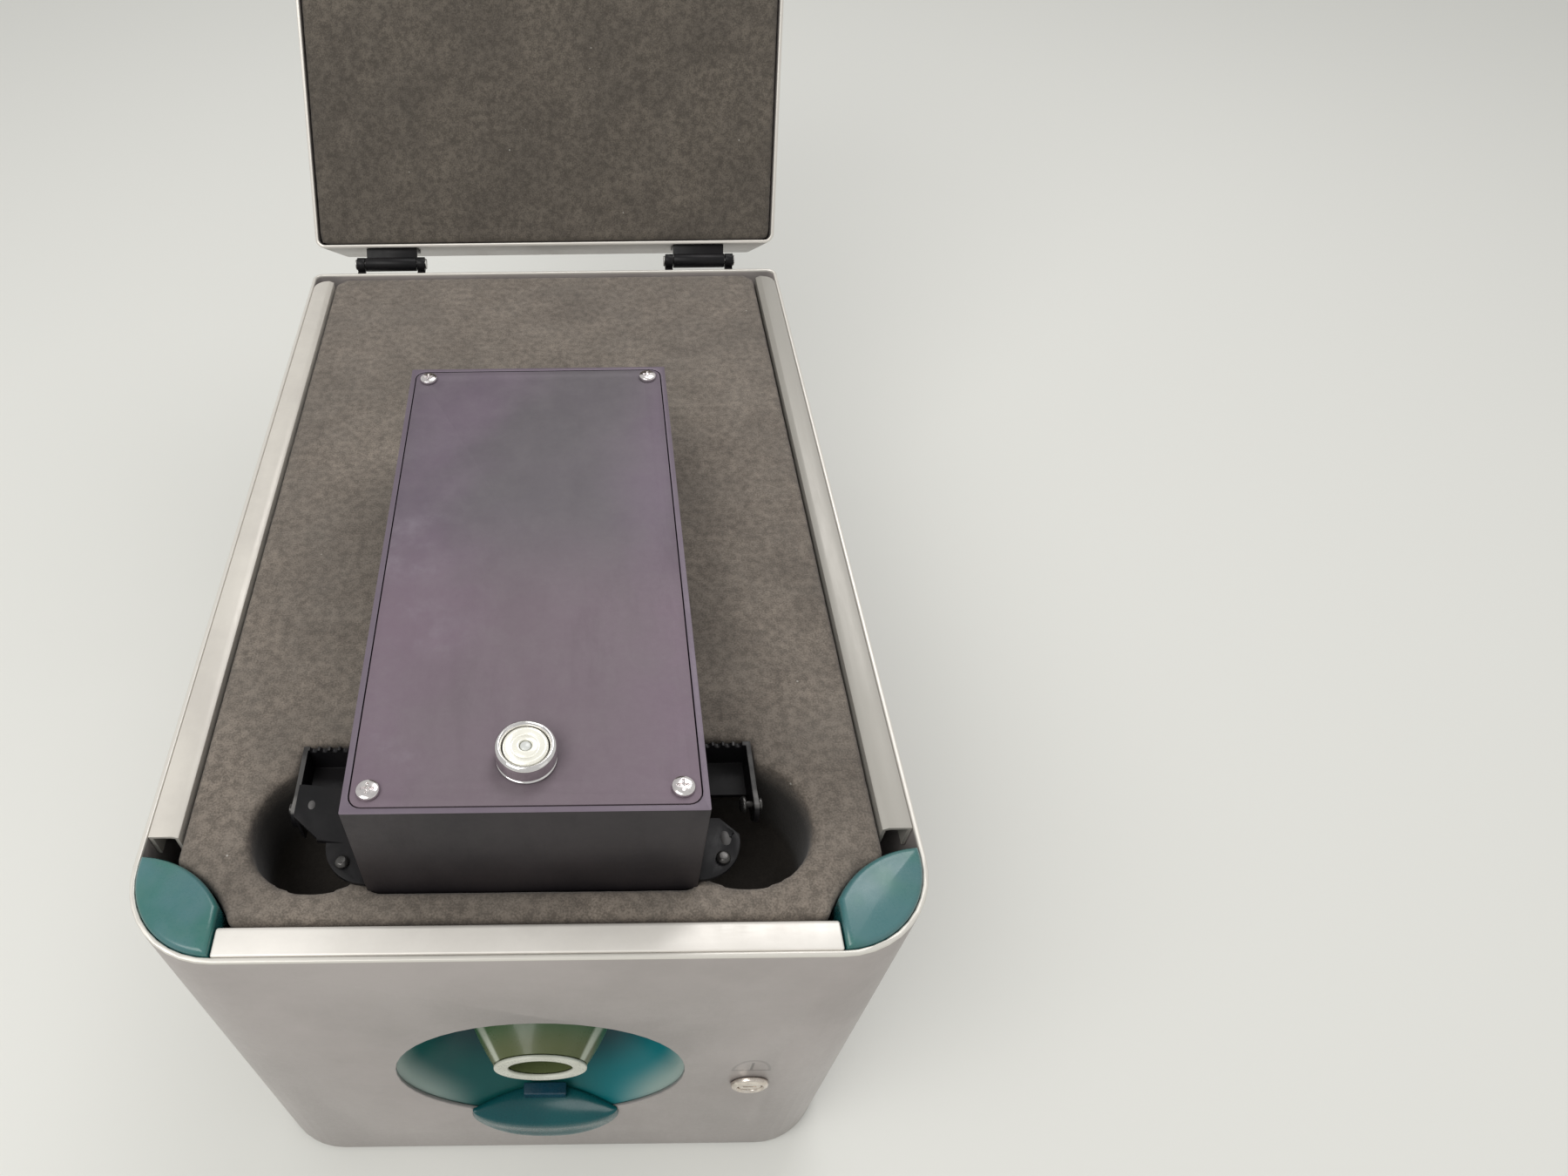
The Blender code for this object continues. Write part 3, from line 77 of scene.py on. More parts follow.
camera = bpy.data.objects.new("camera", bpy.data.cameras.new("camera"))
camera.data.sensor_width = 36
camera.data.lens = 22.94
camera.data.shift_x = 0.130
camera.data.shift_y = 0.0339
look_back = Vector((0.00034, -0.64383, 0.76517)).normalized()
look_right = Vector((0.01203, 0.76511, 0.64378)).cross(look_back).normalized()
look_up = look_back.cross(look_right)
turned_to = Matrix((look_right, look_up, look_back)).transposed().to_4x4()
camera.matrix_world = Matrix.Translation((0.0203, -0.3725, 0.5985)) @ turned_to
scene.collection.objects.link(camera)
scene.camera = camera


# Floor and lights ------------------------------------------------------------------------
# A plain pale studio floor under a bright even room, with one wide lamp over the front left, a
# weaker one over the rear, whose light lies as a soft sheen on the cover, and a faint one right.

floor_half = 6.0
floor_mesh = bpy.data.meshes.new("floor")
floor_mesh.from_pydata(
    [(-floor_half, -floor_half, 0), (floor_half, -floor_half, 0),
     (floor_half, floor_half, 0), (-floor_half, floor_half, 0)], [], [(0, 1, 2, 3)])
floor = bpy.data.objects.new("floor", floor_mesh)
scene.collection.objects.link(floor)
pale = bpy.data.materials.new("pale floor")
pale.use_nodes = True
pale.node_tree.nodes["Principled BSDF"].inputs["Base Color"].default_value = (0.765, 0.77, 0.735, 1)
pale.node_tree.nodes["Principled BSDF"].inputs["Roughness"].default_value = 0.9
floor_mesh.materials.append(pale)

room = bpy.data.worlds.new("room")
room.use_nodes = True
room.node_tree.nodes["Background"].inputs["Color"].default_value = (1.0, 0.995, 0.975, 1)
room.node_tree.nodes["Background"].inputs["Strength"].default_value = 0.60
scene.world = room


def lamp(name, place, aim, size, power, colour=(1, 1, 1)):
    """A square soft lamp at a place, facing a point."""
    light = bpy.data.lights.new(name, "AREA")
    light.size = size
    light.energy = power
    light.color = colour
    made = bpy.data.objects.new(name, light)
    facing = (Vector(place) - Vector(aim)).to_track_quat("Z", "Y")
    made.matrix_world = Matrix.Translation(place) @ facing.to_matrix().to_4x4()
    scene.collection.objects.link(made)


lamp("front left lamp", (-0.75, -0.85, 1.75), (0, -0.05, 0.25), 1.1, 16, (1, 0.985, 0.96))
lamp("rear right lamp", (0.45, 1.0, 1.85), (0, -0.05, 0.25), 0.9, 9.5, (1, 0.98, 0.99))
lamp("right front lamp", (1.3, -1.0, 0.9), (0, -0.2, 0.15), 0.8, 0.4, (1, 0.97, 0.93))

scene.view_settings.view_transform = "Standard"


# Case shell ------------------------------------------------------------------------------
# One wrapped sheet of satin aluminium, 2 mm thick, round at the front corners, with the
# round opening for the grip and the lock's hole. Its raw edges are broken by a fine radius.


def add(tree, kind, inputs=None, **settings):
    """A shader node of that kind. Inputs are sockets to link or plain values."""
    made = tree.nodes.new("ShaderNode" + kind)
    for key, value in settings.items():
        setattr(made, key, value)
    for key, value in (inputs or {}).items():
        if isinstance(value, bpy.types.NodeSocket):
            tree.links.new(value, made.inputs[key])
        else:
            made.inputs[key].default_value = value
    return made


def tint(tree, mask, first, second):
    """The colour that goes from first to second as the mask goes from 0 to 1."""
    return add(tree, "Mix", {0: mask, 6: first, 7: second}, data_type="RGBA").outputs[2]


def level(tree, value, low, high, to_low=0.0, to_high=1.0, smooth=True):
    """The value's place between low and high, eased, as a value between to_low and to_high."""
    return add(tree, "MapRange", {0: value, 1: low, 2: high, 3: to_low, 4: to_high},
               interpolation_type="SMOOTHSTEP" if smooth else "LINEAR").outputs[0]


def sums(tree, operation, first, second=0.0, third=0.0):
    return add(tree, "Math", {0: first, 1: second, 2: third}, operation=operation).outputs[0]


def new_group(name, sockets_in, sockets_out):
    """An empty shader group with named float, vector or colour sockets: its tree, in and out."""
    tree = bpy.data.node_groups.new(name, "ShaderNodeTree")
    for label, kind, value in sockets_in:
        socket = tree.interface.new_socket(label, in_out="INPUT", socket_type="NodeSocket" + kind)
        if value is not None:
            socket.default_value = value
    for label, kind in sockets_out:
        tree.interface.new_socket(label, in_out="OUTPUT", socket_type="NodeSocket" + kind)
    return tree, tree.nodes.new("NodeGroupInput").outputs, tree.nodes.new("NodeGroupOutput").inputs


def handling_group():
    """Soft clouds and short wipe marks left by hands: two noises, one drawn out, multiplied."""
    tree, given, out = new_group(
        "handling marks",
        [("Vector", "Vector", None), ("Size", "Float", 30.0), ("Stretch", "Float", 4.0)],
        [("Clouds", "Float"), ("Wipes", "Float")])
    clouds = add(tree, "TexNoise", {"Vector": given["Vector"], "Scale": given["Size"],
                                    "Detail": 5.0, "Roughness": 0.62}).outputs[0]
    long = add(tree, "CombineXYZ", {0: given["Stretch"], 1: 1.0, 2: 1.0}).outputs[0]
    drawn = add(tree, "VectorMath", {0: given["Vector"], 1: long}, operation="MULTIPLY").outputs[0]
    turned_round = add(tree, "VectorRotate", {"Vector": drawn, "Angle": 0.6},
                       rotation_type="Z_AXIS").outputs[0]
    wipes = add(tree, "TexNoise", {"Vector": turned_round, "Scale": given["Size"], "Detail": 7.0,
                                   "Roughness": 0.7}).outputs[0]
    tree.links.new(level(tree, clouds, 0.34, 0.68), out["Clouds"])
    tree.links.new(level(tree, wipes, 0.45, 0.72), out["Wipes"])
    return tree


def grain_group():
    """Fine surface grain: a coarse and a fine noise added, as a height and as a mask."""
    tree, given, out = new_group(
        "fine grain",
        [("Vector", "Vector", None), ("Size", "Float", 1500.0), ("Coarse Share", "Float", 0.4)],
        [("Height", "Float"), ("Mask", "Float")])
    fine = add(tree, "TexNoise", {"Vector": given["Vector"], "Scale": given["Size"],
                                  "Detail": 3.0}).outputs[0]
    fifth = sums(tree, "MULTIPLY", given["Size"], 0.2)
    coarse = add(tree, "TexNoise", {"Vector": given["Vector"], "Scale": fifth,
                                    "Detail": 4.0}).outputs[0]
    both = add(tree, "Mix", {0: given["Coarse Share"], 2: fine, 3: coarse}).outputs[0]
    tree.links.new(both, out["Height"])
    tree.links.new(level(tree, both, 0.38, 0.62), out["Mask"])
    return tree


def dust_group():
    """Settled dust: faces that look up, broken by a noise."""
    tree, given, out = new_group(
        "settled dust",
        [("Vector", "Vector", None), ("Size", "Float", 60.0), ("Amount", "Float", 0.2)],
        [("Dust", "Float")])
    normal = add(tree, "NewGeometry").outputs["Normal"]
    up = level(tree, add(tree, "SeparateXYZ", {0: normal}).outputs[2], 0.35, 1.0)
    specks = add(tree, "TexNoise", {"Vector": given["Vector"], "Scale": given["Size"],
                                    "Detail": 9.0, "Roughness": 0.75}).outputs[0]
    patch = sums(tree, "MULTIPLY", up, level(tree, specks, 0.35, 0.75))
    tree.links.new(sums(tree, "MULTIPLY", patch, given["Amount"]), out["Dust"])
    return tree


groups = {"handling": handling_group(), "grain": grain_group(), "dust": dust_group()}


def group(tree, name, **values):
    """One of the shared groups placed in a material with its own values."""
    made = tree.nodes.new("ShaderNodeGroup")
    made.node_tree = groups[name]
    for key, value in values.items():
        socket = made.inputs[key.replace("_", " ")]
        if isinstance(value, bpy.types.NodeSocket):
            tree.links.new(value, socket)
        else:
            socket.default_value = value
    return made.outputs


def finish(name, light, dark, gloss, metal=0.0, clouds=30.0, wipes=0.25, grain=1500.0, rise=2e-5,
           dust=0.15, dust_tone=(0.42, 0.40, 0.37, 1), along=(1, 1, 1), extra=None,
           **shader_values):
    """A material whose tone wanders from light to dark in clouds, whose gloss is broken by wipe
    marks, with grain in its bump and dust on its upper faces. gloss is (smoothest, roughest)."""
    made = bpy.data.materials.new(name)
    made.use_nodes = True
    tree = made.node_tree
    shader = tree.nodes["Principled BSDF"]
    where = add(tree, "TexCoord").outputs["Object"]
    pulled = add(tree, "Mapping", {"Vector": where, "Scale": along}).outputs[0]
    marks = group(tree, "handling", Vector=where, Size=clouds)
    grains = group(tree, "grain", Vector=pulled, Size=grain)
    dusty = group(tree, "dust", Vector=where, Amount=dust)
    colour = tint(tree, marks["Clouds"], (*light, 1), (*dark, 1))
    if extra:
        colour = extra(tree, where, colour)
    colour = tint(tree, dusty["Dust"], colour, dust_tone)
    tree.links.new(colour, shader.inputs["Base Color"])
    rough = level(tree, sums(tree, "MULTIPLY_ADD", marks["Wipes"], wipes,
                             sums(tree, "MULTIPLY", grains["Mask"], 0.25)),
                  0.0, wipes + 0.25, gloss[0], gloss[1], smooth=False)
    rough = sums(tree, "MULTIPLY_ADD", dusty["Dust"], 0.5, rough)
    tree.links.new(rough, shader.inputs["Roughness"])
    bump = add(tree, "Bump", {"Height": grains["Height"], "Distance": rise, "Strength": 1.0})
    tree.links.new(bump.outputs[0], shader.inputs["Normal"])
    shader.inputs["Metallic"].default_value = metal
    for key, value in shader_values.items():
        shader.inputs[key.replace("_", " ")].default_value = value
    return made


def welded(node, name):
    """A copy of a CAD node with its loose triangles welded and its flat faces made whole."""
    bm = bmesh.new()
    bm.from_mesh(nodes[node].data)
    bmesh.ops.remove_doubles(bm, verts=bm.verts, dist=3e-6)
    flat = math.radians(0.4)
    bmesh.ops.dissolve_limit(bm, angle_limit=flat, verts=bm.verts, edges=bm.edges)
    mesh = bpy.data.meshes.new(name)
    bm.to_mesh(mesh)
    bm.free()
    piece = bpy.data.objects.new(name, mesh)
    scene.collection.objects.link(piece)
    return piece


def fit(piece, material, node, slot, *others):
    """Gives a new piece its material and the body of the CAD node it stands for. The slot is not
    used.
    """
    piece.data.materials.clear()
    piece.data.materials.append(material)
    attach(piece, nodes[node]["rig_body"])
    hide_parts(node, *others)
    return piece


def eased(node, material, slot, width, segments=2):
    """A CAD node's shape with its edges broken by a small radius."""
    piece = welded(node, node + "_eased")
    piece.data.shade_smooth()
    bevel = piece.modifiers.new("broken edges", "BEVEL")
    bevel.width = width
    bevel.segments = segments
    bevel.limit_method = "ANGLE"
    bevel.angle_limit = math.radians(28)
    bevel.harden_normals = True
    bevel.use_clamp_overlap = True
    return fit(piece, material, node, slot)


shell_low, shell_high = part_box("case_shell")
rim = shell_high.z
front_y = shell_low.y
half_w = shell_high.x
lock_low, lock_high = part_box("lock_body")
lock_x, lock_z = (lock_low.x + lock_high.x) / 2, (lock_low.z + lock_high.z) / 2


def edge_and_mark(tree, where, colour):
    """The bare cut edge round the rim is brighter than the faces. A plain printed half circle
    with a base line and a tick stands above the lock."""
    centre_x, centre_z = lock_x - 0.0014, lock_z + 0.0175
    x, y, z = add(tree, "SeparateXYZ", {0: where}).outputs
    across = sums(tree, "SUBTRACT", x, centre_x)
    above = sums(tree, "SUBTRACT", z, centre_z)
    flat = sums(tree, "MULTIPLY", above, 0.62)
    away = sums(tree, "SQRT", sums(tree, "ADD", sums(tree, "MULTIPLY", across, across),
                                   sums(tree, "MULTIPLY", flat, flat)))
    line = 0.00035
    ring = sums(tree, "ABSOLUTE", sums(tree, "SUBTRACT", away, 0.0082))
    ring = sums(tree, "MULTIPLY", level(tree, ring, line, line * 2.4, 1, 0),
                level(tree, above, 0.0, 0.001))
    off_base = sums(tree, "ABSOLUTE", above)
    base = sums(tree, "MULTIPLY", level(tree, off_base, line, line * 2.6, 1, 0),
                level(tree, sums(tree, "ABSOLUTE", across), 0.0084, 0.0092, 1, 0))
    off_tick = sums(tree, "ABSOLUTE", across)
    tick = sums(tree, "MULTIPLY", level(tree, off_tick, line, line * 2.4, 1, 0),
                sums(tree, "MULTIPLY", level(tree, above, 0.0, 0.0005),
                     level(tree, above, 0.0100, 0.0108, 1, 0)))
    mark = sums(tree, "MAXIMUM", sums(tree, "MULTIPLY", ring, 0.32),
                sums(tree, "MAXIMUM", sums(tree, "MULTIPLY", base, 0.55),
                     sums(tree, "MULTIPLY", tick, 0.7)))
    mark = sums(tree, "MULTIPLY", mark, level(tree, y, front_y + 0.0005, front_y + 0.001, 1, 0))
    colour = tint(tree, level(tree, z, rim - 0.0016, rim - 0.0007), colour, (0.74, 0.715, 0.66, 1))
    return tint(tree, mark, colour, (0.12, 0.11, 0.11, 1))


sheet_metal = finish("satin sheet", (0.44, 0.405, 0.395), (0.37, 0.34, 0.33), (0.34, 0.5), 0.45,
                     clouds=9.0, wipes=0.3, grain=1800.0, rise=1.2e-5, dust=0.03,
                     extra=edge_and_mark)
eased("case_shell", sheet_metal, "grey_sheet", 0.0005)


# Rim rails -------------------------------------------------------------------------------
# Folded aluminium channel, clear anodised to a creamy silver, pushed over the shell's edge
# from inside. The side rails stop short of the corners, where their cut ends stand open.


def right_rail_painted_shade(tree, where, colour):
    """The right rail is painted a shade duller than the left, as painted shade."""
    x = add(tree, "SeparateXYZ", {0: where}).outputs[0]
    return tint(tree, level(tree, x, -0.05, 0.05), colour, (0.40, 0.385, 0.35, 1))


rail_metal = finish("creamy silver rail", (0.68, 0.65, 0.59), (0.61, 0.58, 0.53), (0.36, 0.5),
                    0.25, clouds=22.0, wipes=0.35, grain=1400.0, rise=1.5e-5, dust=0.1,
                    along=(1, 0.08, 1), extra=right_rail_painted_shade)
# The front rail takes a lighter copy of the same creamy silver: painted light.
front_rail_lit_metal = finish("creamy silver front rail", (0.86, 0.83, 0.78), (0.80, 0.77, 0.72),
                          (0.36, 0.5), 0.25, clouds=22.0, wipes=0.35, grain=1400.0, rise=1.5e-5,
                          dust=0.1, along=(0.08, 1, 1))
eased("side_rail_left", rail_metal, "rail_metal", 0.0006, 3)
eased("side_rail_right", rail_metal, "rail_metal", 0.0006, 3)
eased("front_rail", front_rail_lit_metal, "rail_metal", 0.0008, 3)


# Corner caps -----------------------------------------------------------------------------
# Moulded in a glossy teal plastic and pushed into the two front corners. Each is a leaf in
# plan, with a soft edge and a top that swells a little above the rim.


def skin(name, points, around=True, sharp=40):
    """A mesh from a grid of points, rows along the piece and columns round it. Points that
    coincide, at seams and poles, are welded, and the faces turned outwards."""
    rows, columns = points.shape[:2]
    index = np.arange(rows * columns).reshape(rows, columns)
    if around:
        index = np.hstack([index, index[:, :1]])
    quads = np.stack([index[:-1, :-1], index[:-1, 1:], index[1:, 1:], index[1:, :-1]], axis=-1)
    mesh = bpy.data.meshes.new(name)
    mesh.from_pydata(points.reshape(-1, 3).tolist(), [], quads.reshape(-1, 4).tolist())
    bm = bmesh.new()
    bm.from_mesh(mesh)
    bmesh.ops.remove_doubles(bm, verts=bm.verts, dist=2e-7)
    bmesh.ops.recalc_face_normals(bm, faces=bm.faces)
    bm.to_mesh(mesh)
    bm.free()
    mesh.shade_smooth()
    mesh.set_sharp_from_angle(angle=math.radians(sharp))
    piece = bpy.data.objects.new(name, mesh)
    scene.collection.objects.link(piece)
    return piece


corner_r = 0.038
cap_inner_r = 0.042
cap_low, cap_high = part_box("corner_cap_right")


def leaf(inset, count=40):
    """Plan of the right cap moved inwards by inset: an arc along the shell's inner corner, then
    an arc back to its start, struck from the case's square corner."""
    centre = np.array([half_w - corner_r, front_y + corner_r])
    corner = np.array([half_w, front_y])
    shell_r = corner_r - 0.0023 - inset
    inner_r = cap_inner_r - inset
    foot_x = 0.1133 + 0.0003 + inset
    foot = -math.acos((foot_x - centre[0]) / shell_r)
    apart = np.linalg.norm(centre - corner)
    along = (apart ** 2 + shell_r ** 2 - inner_r ** 2) / (2 * apart)
    across = math.sqrt(shell_r ** 2 - along ** 2)
    tip = centre + np.array([along + across, across - along]) / math.sqrt(2)
    tip_angle = math.atan2(tip[1] - centre[1], tip[0] - centre[0])
    a = np.linspace(foot, tip_angle, count)
    outer = centre + shell_r * np.stack([np.cos(a), np.sin(a)], axis=1)
    start = math.pi + math.atan2(corner[1] - tip[1], corner[0] - tip[0])
    end = math.pi - math.acos((corner[0] - foot_x) / inner_r)
    b = np.linspace(start, end, count)[1:]
    inner = corner + inner_r * np.stack([np.cos(b), np.sin(b)], axis=1)
    return np.vstack([outer, inner])


def cap_points():
    """Rings of the leaf: straight up the wall, round a quarter ellipse on to the top, and then
    drawn in to the middle while the height follows one minus a square."""
    crown = 0.0011
    edge_top = cap_high.z - crown
    edge = 0.0024
    rings = [leaf(0.0)] * 2
    heights = [cap_low.z, edge_top - 0.0026]
    for turn in np.linspace(0, math.pi / 2, 9)[1:]:
        rings.append(leaf(edge * (1 - math.cos(turn))))
        heights.append(edge_top - 0.0026 * (1 - math.sin(turn)))
    last = rings[-1]
    middle = last.mean(axis=0)
    for share in np.linspace(0, 1, 9)[1:]:
        rings.append(middle + (last - middle) * (1 - share))
        heights.append(edge_top + crown * (1 - (1 - share) ** 2))
    rings = [np.repeat(rings[0].mean(axis=0)[None], len(rings[0]), axis=0), *rings]
    heights = [cap_low.z, *heights]
    flat = np.array(rings)
    return np.dstack([flat, np.repeat(np.array(heights)[:, None], flat.shape[1], axis=1)])


def teal_painted_haze_and_shade(tree, where, colour):
    """The teal is painted bluer in soft patches, as a painted reflection, and painted darker down
    the cap's wall below the rim, as painted shade.
    """
    haze = add(tree, "TexNoise", {"Vector": where, "Scale": 38.0, "Detail": 2.0}).outputs[0]
    colour = tint(tree, level(tree, haze, 0.4, 0.62, 0, 0.75), colour, (0.066, 0.170, 0.190, 1))
    z = add(tree, "SeparateXYZ", {0: where}).outputs[2]
    return tint(tree, level(tree, z, rim + 0.0014, rim - 0.0015), colour, (0.012, 0.10, 0.105, 1))


teal = finish("glossy teal", (0.036, 0.165, 0.140), (0.028, 0.140, 0.128), (0.24, 0.4),
              clouds=26.0, wipes=0.3, grain=900.0, rise=6e-6, dust=0.05, extra=teal_painted_haze_and_shade,
              Coat_Weight=0.25, Coat_Roughness=0.16)
cap_grid = cap_points()
for side, word in ((1, "right"), (-1, "left")):
    cap = skin("corner_cap_" + word + "_moulded", cap_grid * (side, 1, 1), sharp=60)
    fit(cap, teal, "corner_cap_" + word, "teal")


# Foam bed --------------------------------------------------------------------------------
# Closed-cell foam, brown grey, cut to shape with the instrument's pocket and two finger
# holes. The knife leaves its faces matt and pitted, with a few pale crumbs.


def ripple(points, length, seed, waves=14):
    """A smooth random height at each point: the sum of plane waves of about one length, with
    seeded directions and phases."""
    draw = np.random.default_rng(seed)
    directions = draw.normal(size=(waves, 3))
    directions /= np.linalg.norm(directions, axis=1)[:, None]
    lengths = length * draw.uniform(0.7, 1.4, waves)
    phases = draw.uniform(0, 2 * math.pi, waves)
    return np.sin(points @ (directions / lengths[:, None] * 2 * math.pi).T + phases).mean(axis=1)


def foam_block(node, name, cell, dent, material, seed):
    """A foam piece: the CAD solid remeshed in small cells, its knife edges softened, and its
    skin pressed in by seeded ripples of two lengths."""
    piece = welded(node, name)
    cells = piece.modifiers.new("cells", "REMESH")
    cells.mode = "VOXEL"
    cells.voxel_size = cell
    soften = piece.modifiers.new("soft edges", "SMOOTH")
    soften.factor = 0.5
    soften.iterations = 2
    graph = bpy.context.evaluated_depsgraph_get()
    mesh = bpy.data.meshes.new_from_object(piece.evaluated_get(graph))
    bpy.data.objects.remove(piece)
    mesh.name = name
    points = np.empty(len(mesh.vertices) * 3, np.float32)
    mesh.vertices.foreach_get("co", points)
    points = points.reshape(-1, 3).astype(float)
    normals = np.empty(len(mesh.vertices) * 3, np.float32)
    mesh.vertex_normals.foreach_get("vector", normals)
    normals = normals.reshape(-1, 3)
    wide, fine = ripple(points, 0.021, seed), ripple(points, 0.006, seed + 1)
    press = dent * (0.5 + 0.5 * wide + 0.35 * fine)
    points -= normals * np.clip(press, 0, None)[:, None]
    low, high = (np.array(corner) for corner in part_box(node))
    mesh.vertices.foreach_set("co", np.clip(points, low, high).astype(np.float32).ravel())
    mesh.shade_smooth()
    made = bpy.data.objects.new(name, mesh)
    scene.collection.objects.link(made)
    fit(made, material, node, "foam")
    return made


def foam_finish(name, light, dark, blotch, top=None):
    """Matt foam: blotches some centimetres across, a dense salt-and-pepper of cells, pits, and
    sparse pale crumbs. Below the top it is painted much darker, as painted shade in the hollows."""
    made = bpy.data.materials.new(name)
    made.use_nodes = True
    tree = made.node_tree
    shader = tree.nodes["Principled BSDF"]
    where = add(tree, "TexCoord").outputs["Object"]
    marks = group(tree, "handling", Vector=where, Size=16.0, Stretch=1.6)
    cells = group(tree, "grain", Vector=where, Size=1300.0, Coarse_Share=0.45)
    patches = group(tree, "grain", Vector=where, Size=420.0, Coarse_Share=0.55)
    dusty = group(tree, "dust", Vector=where, Amount=0.12, Size=35.0)
    base = tint(tree, marks["Clouds"], (*light, 1), (*dark, 1))
    base = tint(tree, sums(tree, "MULTIPLY", marks["Wipes"], 0.35), base, (*blotch, 1))
    base = tint(tree, sums(tree, "MULTIPLY", patches["Mask"], 0.32), base, (*blotch, 1))
    base = tint(tree, sums(tree, "MULTIPLY", cells["Mask"], 0.62), base,
                tuple(0.30 * value for value in dark) + (1,))
    crumbs = add(tree, "TexVoronoi", {"Vector": where, "Scale": 95.0, "Randomness": 1.0})
    chosen = add(tree, "SeparateColor", {0: crumbs.outputs["Color"]}).outputs[0]
    speck = sums(tree, "MULTIPLY", level(tree, crumbs.outputs["Distance"], 0.03, 0.055, 1, 0),
                 level(tree, chosen, 0.80, 0.84))
    base = tint(tree, sums(tree, "MULTIPLY", speck, 0.55), base, (0.55, 0.53, 0.49, 1))
    base = tint(tree, dusty["Dust"], base, (0.30, 0.28, 0.25, 1))
    # Painted shade: below the top the foam darkens with depth, in the pocket and the finger holes.
    if top:
        z = add(tree, "SeparateXYZ", {0: where}).outputs[2]
        base = tint(tree, level(tree, z, top - 0.0012, top - 0.015, 0.0, 0.93), base,
                    tuple(0.12 * value for value in dark) + (1,))
    tree.links.new(base, shader.inputs["Base Color"])
    tree.links.new(level(tree, cells["Height"], 0.3, 0.7, 0.86, 0.99), shader.inputs["Roughness"])
    height = sums(tree, "MULTIPLY_ADD", patches["Height"], 0.8, cells["Height"])
    bump = add(tree, "Bump", {"Height": height, "Distance": 0.00022, "Strength": 0.9})
    tree.links.new(bump.outputs[0], shader.inputs["Normal"])
    shader.inputs["Sheen Weight"].default_value = 0.12
    shader.inputs["Sheen Roughness"].default_value = 0.6
    shader.inputs["Specular IOR Level"].default_value = 0.25
    return made


bed_foam = foam_finish("brown grey foam", (0.250, 0.212, 0.176), (0.180, 0.153, 0.128),
                       (0.112, 0.095, 0.080), top=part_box("foam_insert")[1].z)
foam_block("foam_insert", "foam_bed", 0.0024, 0.00025, bed_foam, 11)


# Grip ------------------------------------------------------------------------------------
# A round dish let into the front: a glossy teal moulding, with an oval olive hub that narrows
# forwards to a cream ring round its hollow. Below, a teal thumb pad runs out over the front,
# with a small dark stop on it.


def softened(path, radius, steps=5, closed=False):
    """A profile with its corners rounded: each corner point gives way to a short Bezier curve
    that starts and ends at most radius away on its two sides."""
    path = np.asarray(path, float)
    before, after = np.roll(path, 1, axis=0), np.roll(path, -1, axis=0)
    reach_before = np.linalg.norm(before - path, axis=1)[:, None] + 1e-12
    reach_after = np.linalg.norm(after - path, axis=1)[:, None] + 1e-12
    start = path + (before - path) * np.minimum(radius / reach_before, 0.45)
    end = path + (after - path) * np.minimum(radius / reach_after, 0.45)
    t = np.linspace(0, 1, steps)[None, :, None]
    curves = (1 - t) ** 2 * start[:, None] + 2 * t * (1 - t) * path[:, None] + t ** 2 * end[:, None]
    if closed:
        rounded = curves.reshape(-1, 2)
        return np.vstack([rounded, rounded[:1]])
    return np.vstack([path[:1], curves[1:-1].reshape(-1, 2), path[-1:]])


def lathe(profile, centre, axis="Y", count=96, oval=1.0):
    """A surface of revolution as a grid: (radius, height) carried round an axis, with the second
    axis across it scaled by oval."""
    a = np.linspace(0, 2 * math.pi, count, endpoint=False)
    radius, height = np.asarray(profile).T
    u = radius[:, None] * np.cos(a)
    v = radius[:, None] * np.sin(a) * oval
    h = np.repeat(height[:, None], count, axis=1)
    order = {"Y": (u, h, v), "Z": (u, v, h), "X": (h, u, v)}[axis]
    return np.dstack(order) + np.array(centre)


dish_low, dish_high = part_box("grip_dish")
grip_z = (dish_low.z + dish_high.z) / 2
dish_y = dish_low.y
dish_r, dish_back_r, dish_depth, dish_wall, lip_r = 0.065, 0.038, 0.036, 0.002, 0.0709
s = np.linspace(0, 1, 22)
bowl = np.stack([dish_r - (dish_r - dish_back_r) * s,
                 dish_depth * s + 0.0016 * np.sin(math.pi * s)], axis=1)
dish_profile = np.vstack([
    [[dish_r + 0.0006, 0.0]], bowl[1:], [[0.0, dish_depth]], [[0.0, dish_depth + dish_wall]],
    [[dish_back_r + dish_wall, dish_depth + dish_wall]], [[dish_r + dish_wall, dish_wall]],
    [[lip_r, dish_wall]], [[lip_r, 0.0]], [[dish_r + 0.0006, 0.0]]])
dish = skin("grip_dish_moulded", lathe(dish_profile, (0, dish_y, grip_z), count=128), sharp=35)


def dish_painted_light_and_shade(tree, where, colour):
    """The dish is painted a fuller, lighter blue to the right where light falls, painted shade deep
    in its back, and painted highlights silvery at the two ends of its rim.
    """
    x, y, _ = add(tree, "SeparateXYZ", {0: where}).outputs
    colour = tint(tree, level(tree, x, 0.0, 0.045), colour, (0.002, 0.165, 0.190, 1))
    deep = level(tree, y, dish_y + 0.012, dish_y + 0.030)
    colour = tint(tree, sums(tree, "MULTIPLY", deep, 0.8), colour, (0.003, 0.030, 0.045, 1))
    outer = sums(tree, "MULTIPLY", level(tree, y, dish_y + 0.012, dish_y),
                 level(tree, sums(tree, "ABSOLUTE", x), 0.030, 0.058))
    return tint(tree, sums(tree, "MULTIPLY", outer, 0.9), colour, (0.30, 0.38, 0.35, 1))


dish_teal = finish("dish teal", (0.006, 0.098, 0.090), (0.004, 0.078, 0.078), (0.28, 0.42),
                   clouds=18.0, wipes=0.3, grain=1000.0, rise=6e-6, dust=0.01, extra=dish_painted_light_and_shade,
                   Specular_IOR_Level=0.25, Coat_Weight=0.1, Coat_Roughness=0.22)
fit(dish, dish_teal, "grip_dish", "teal")

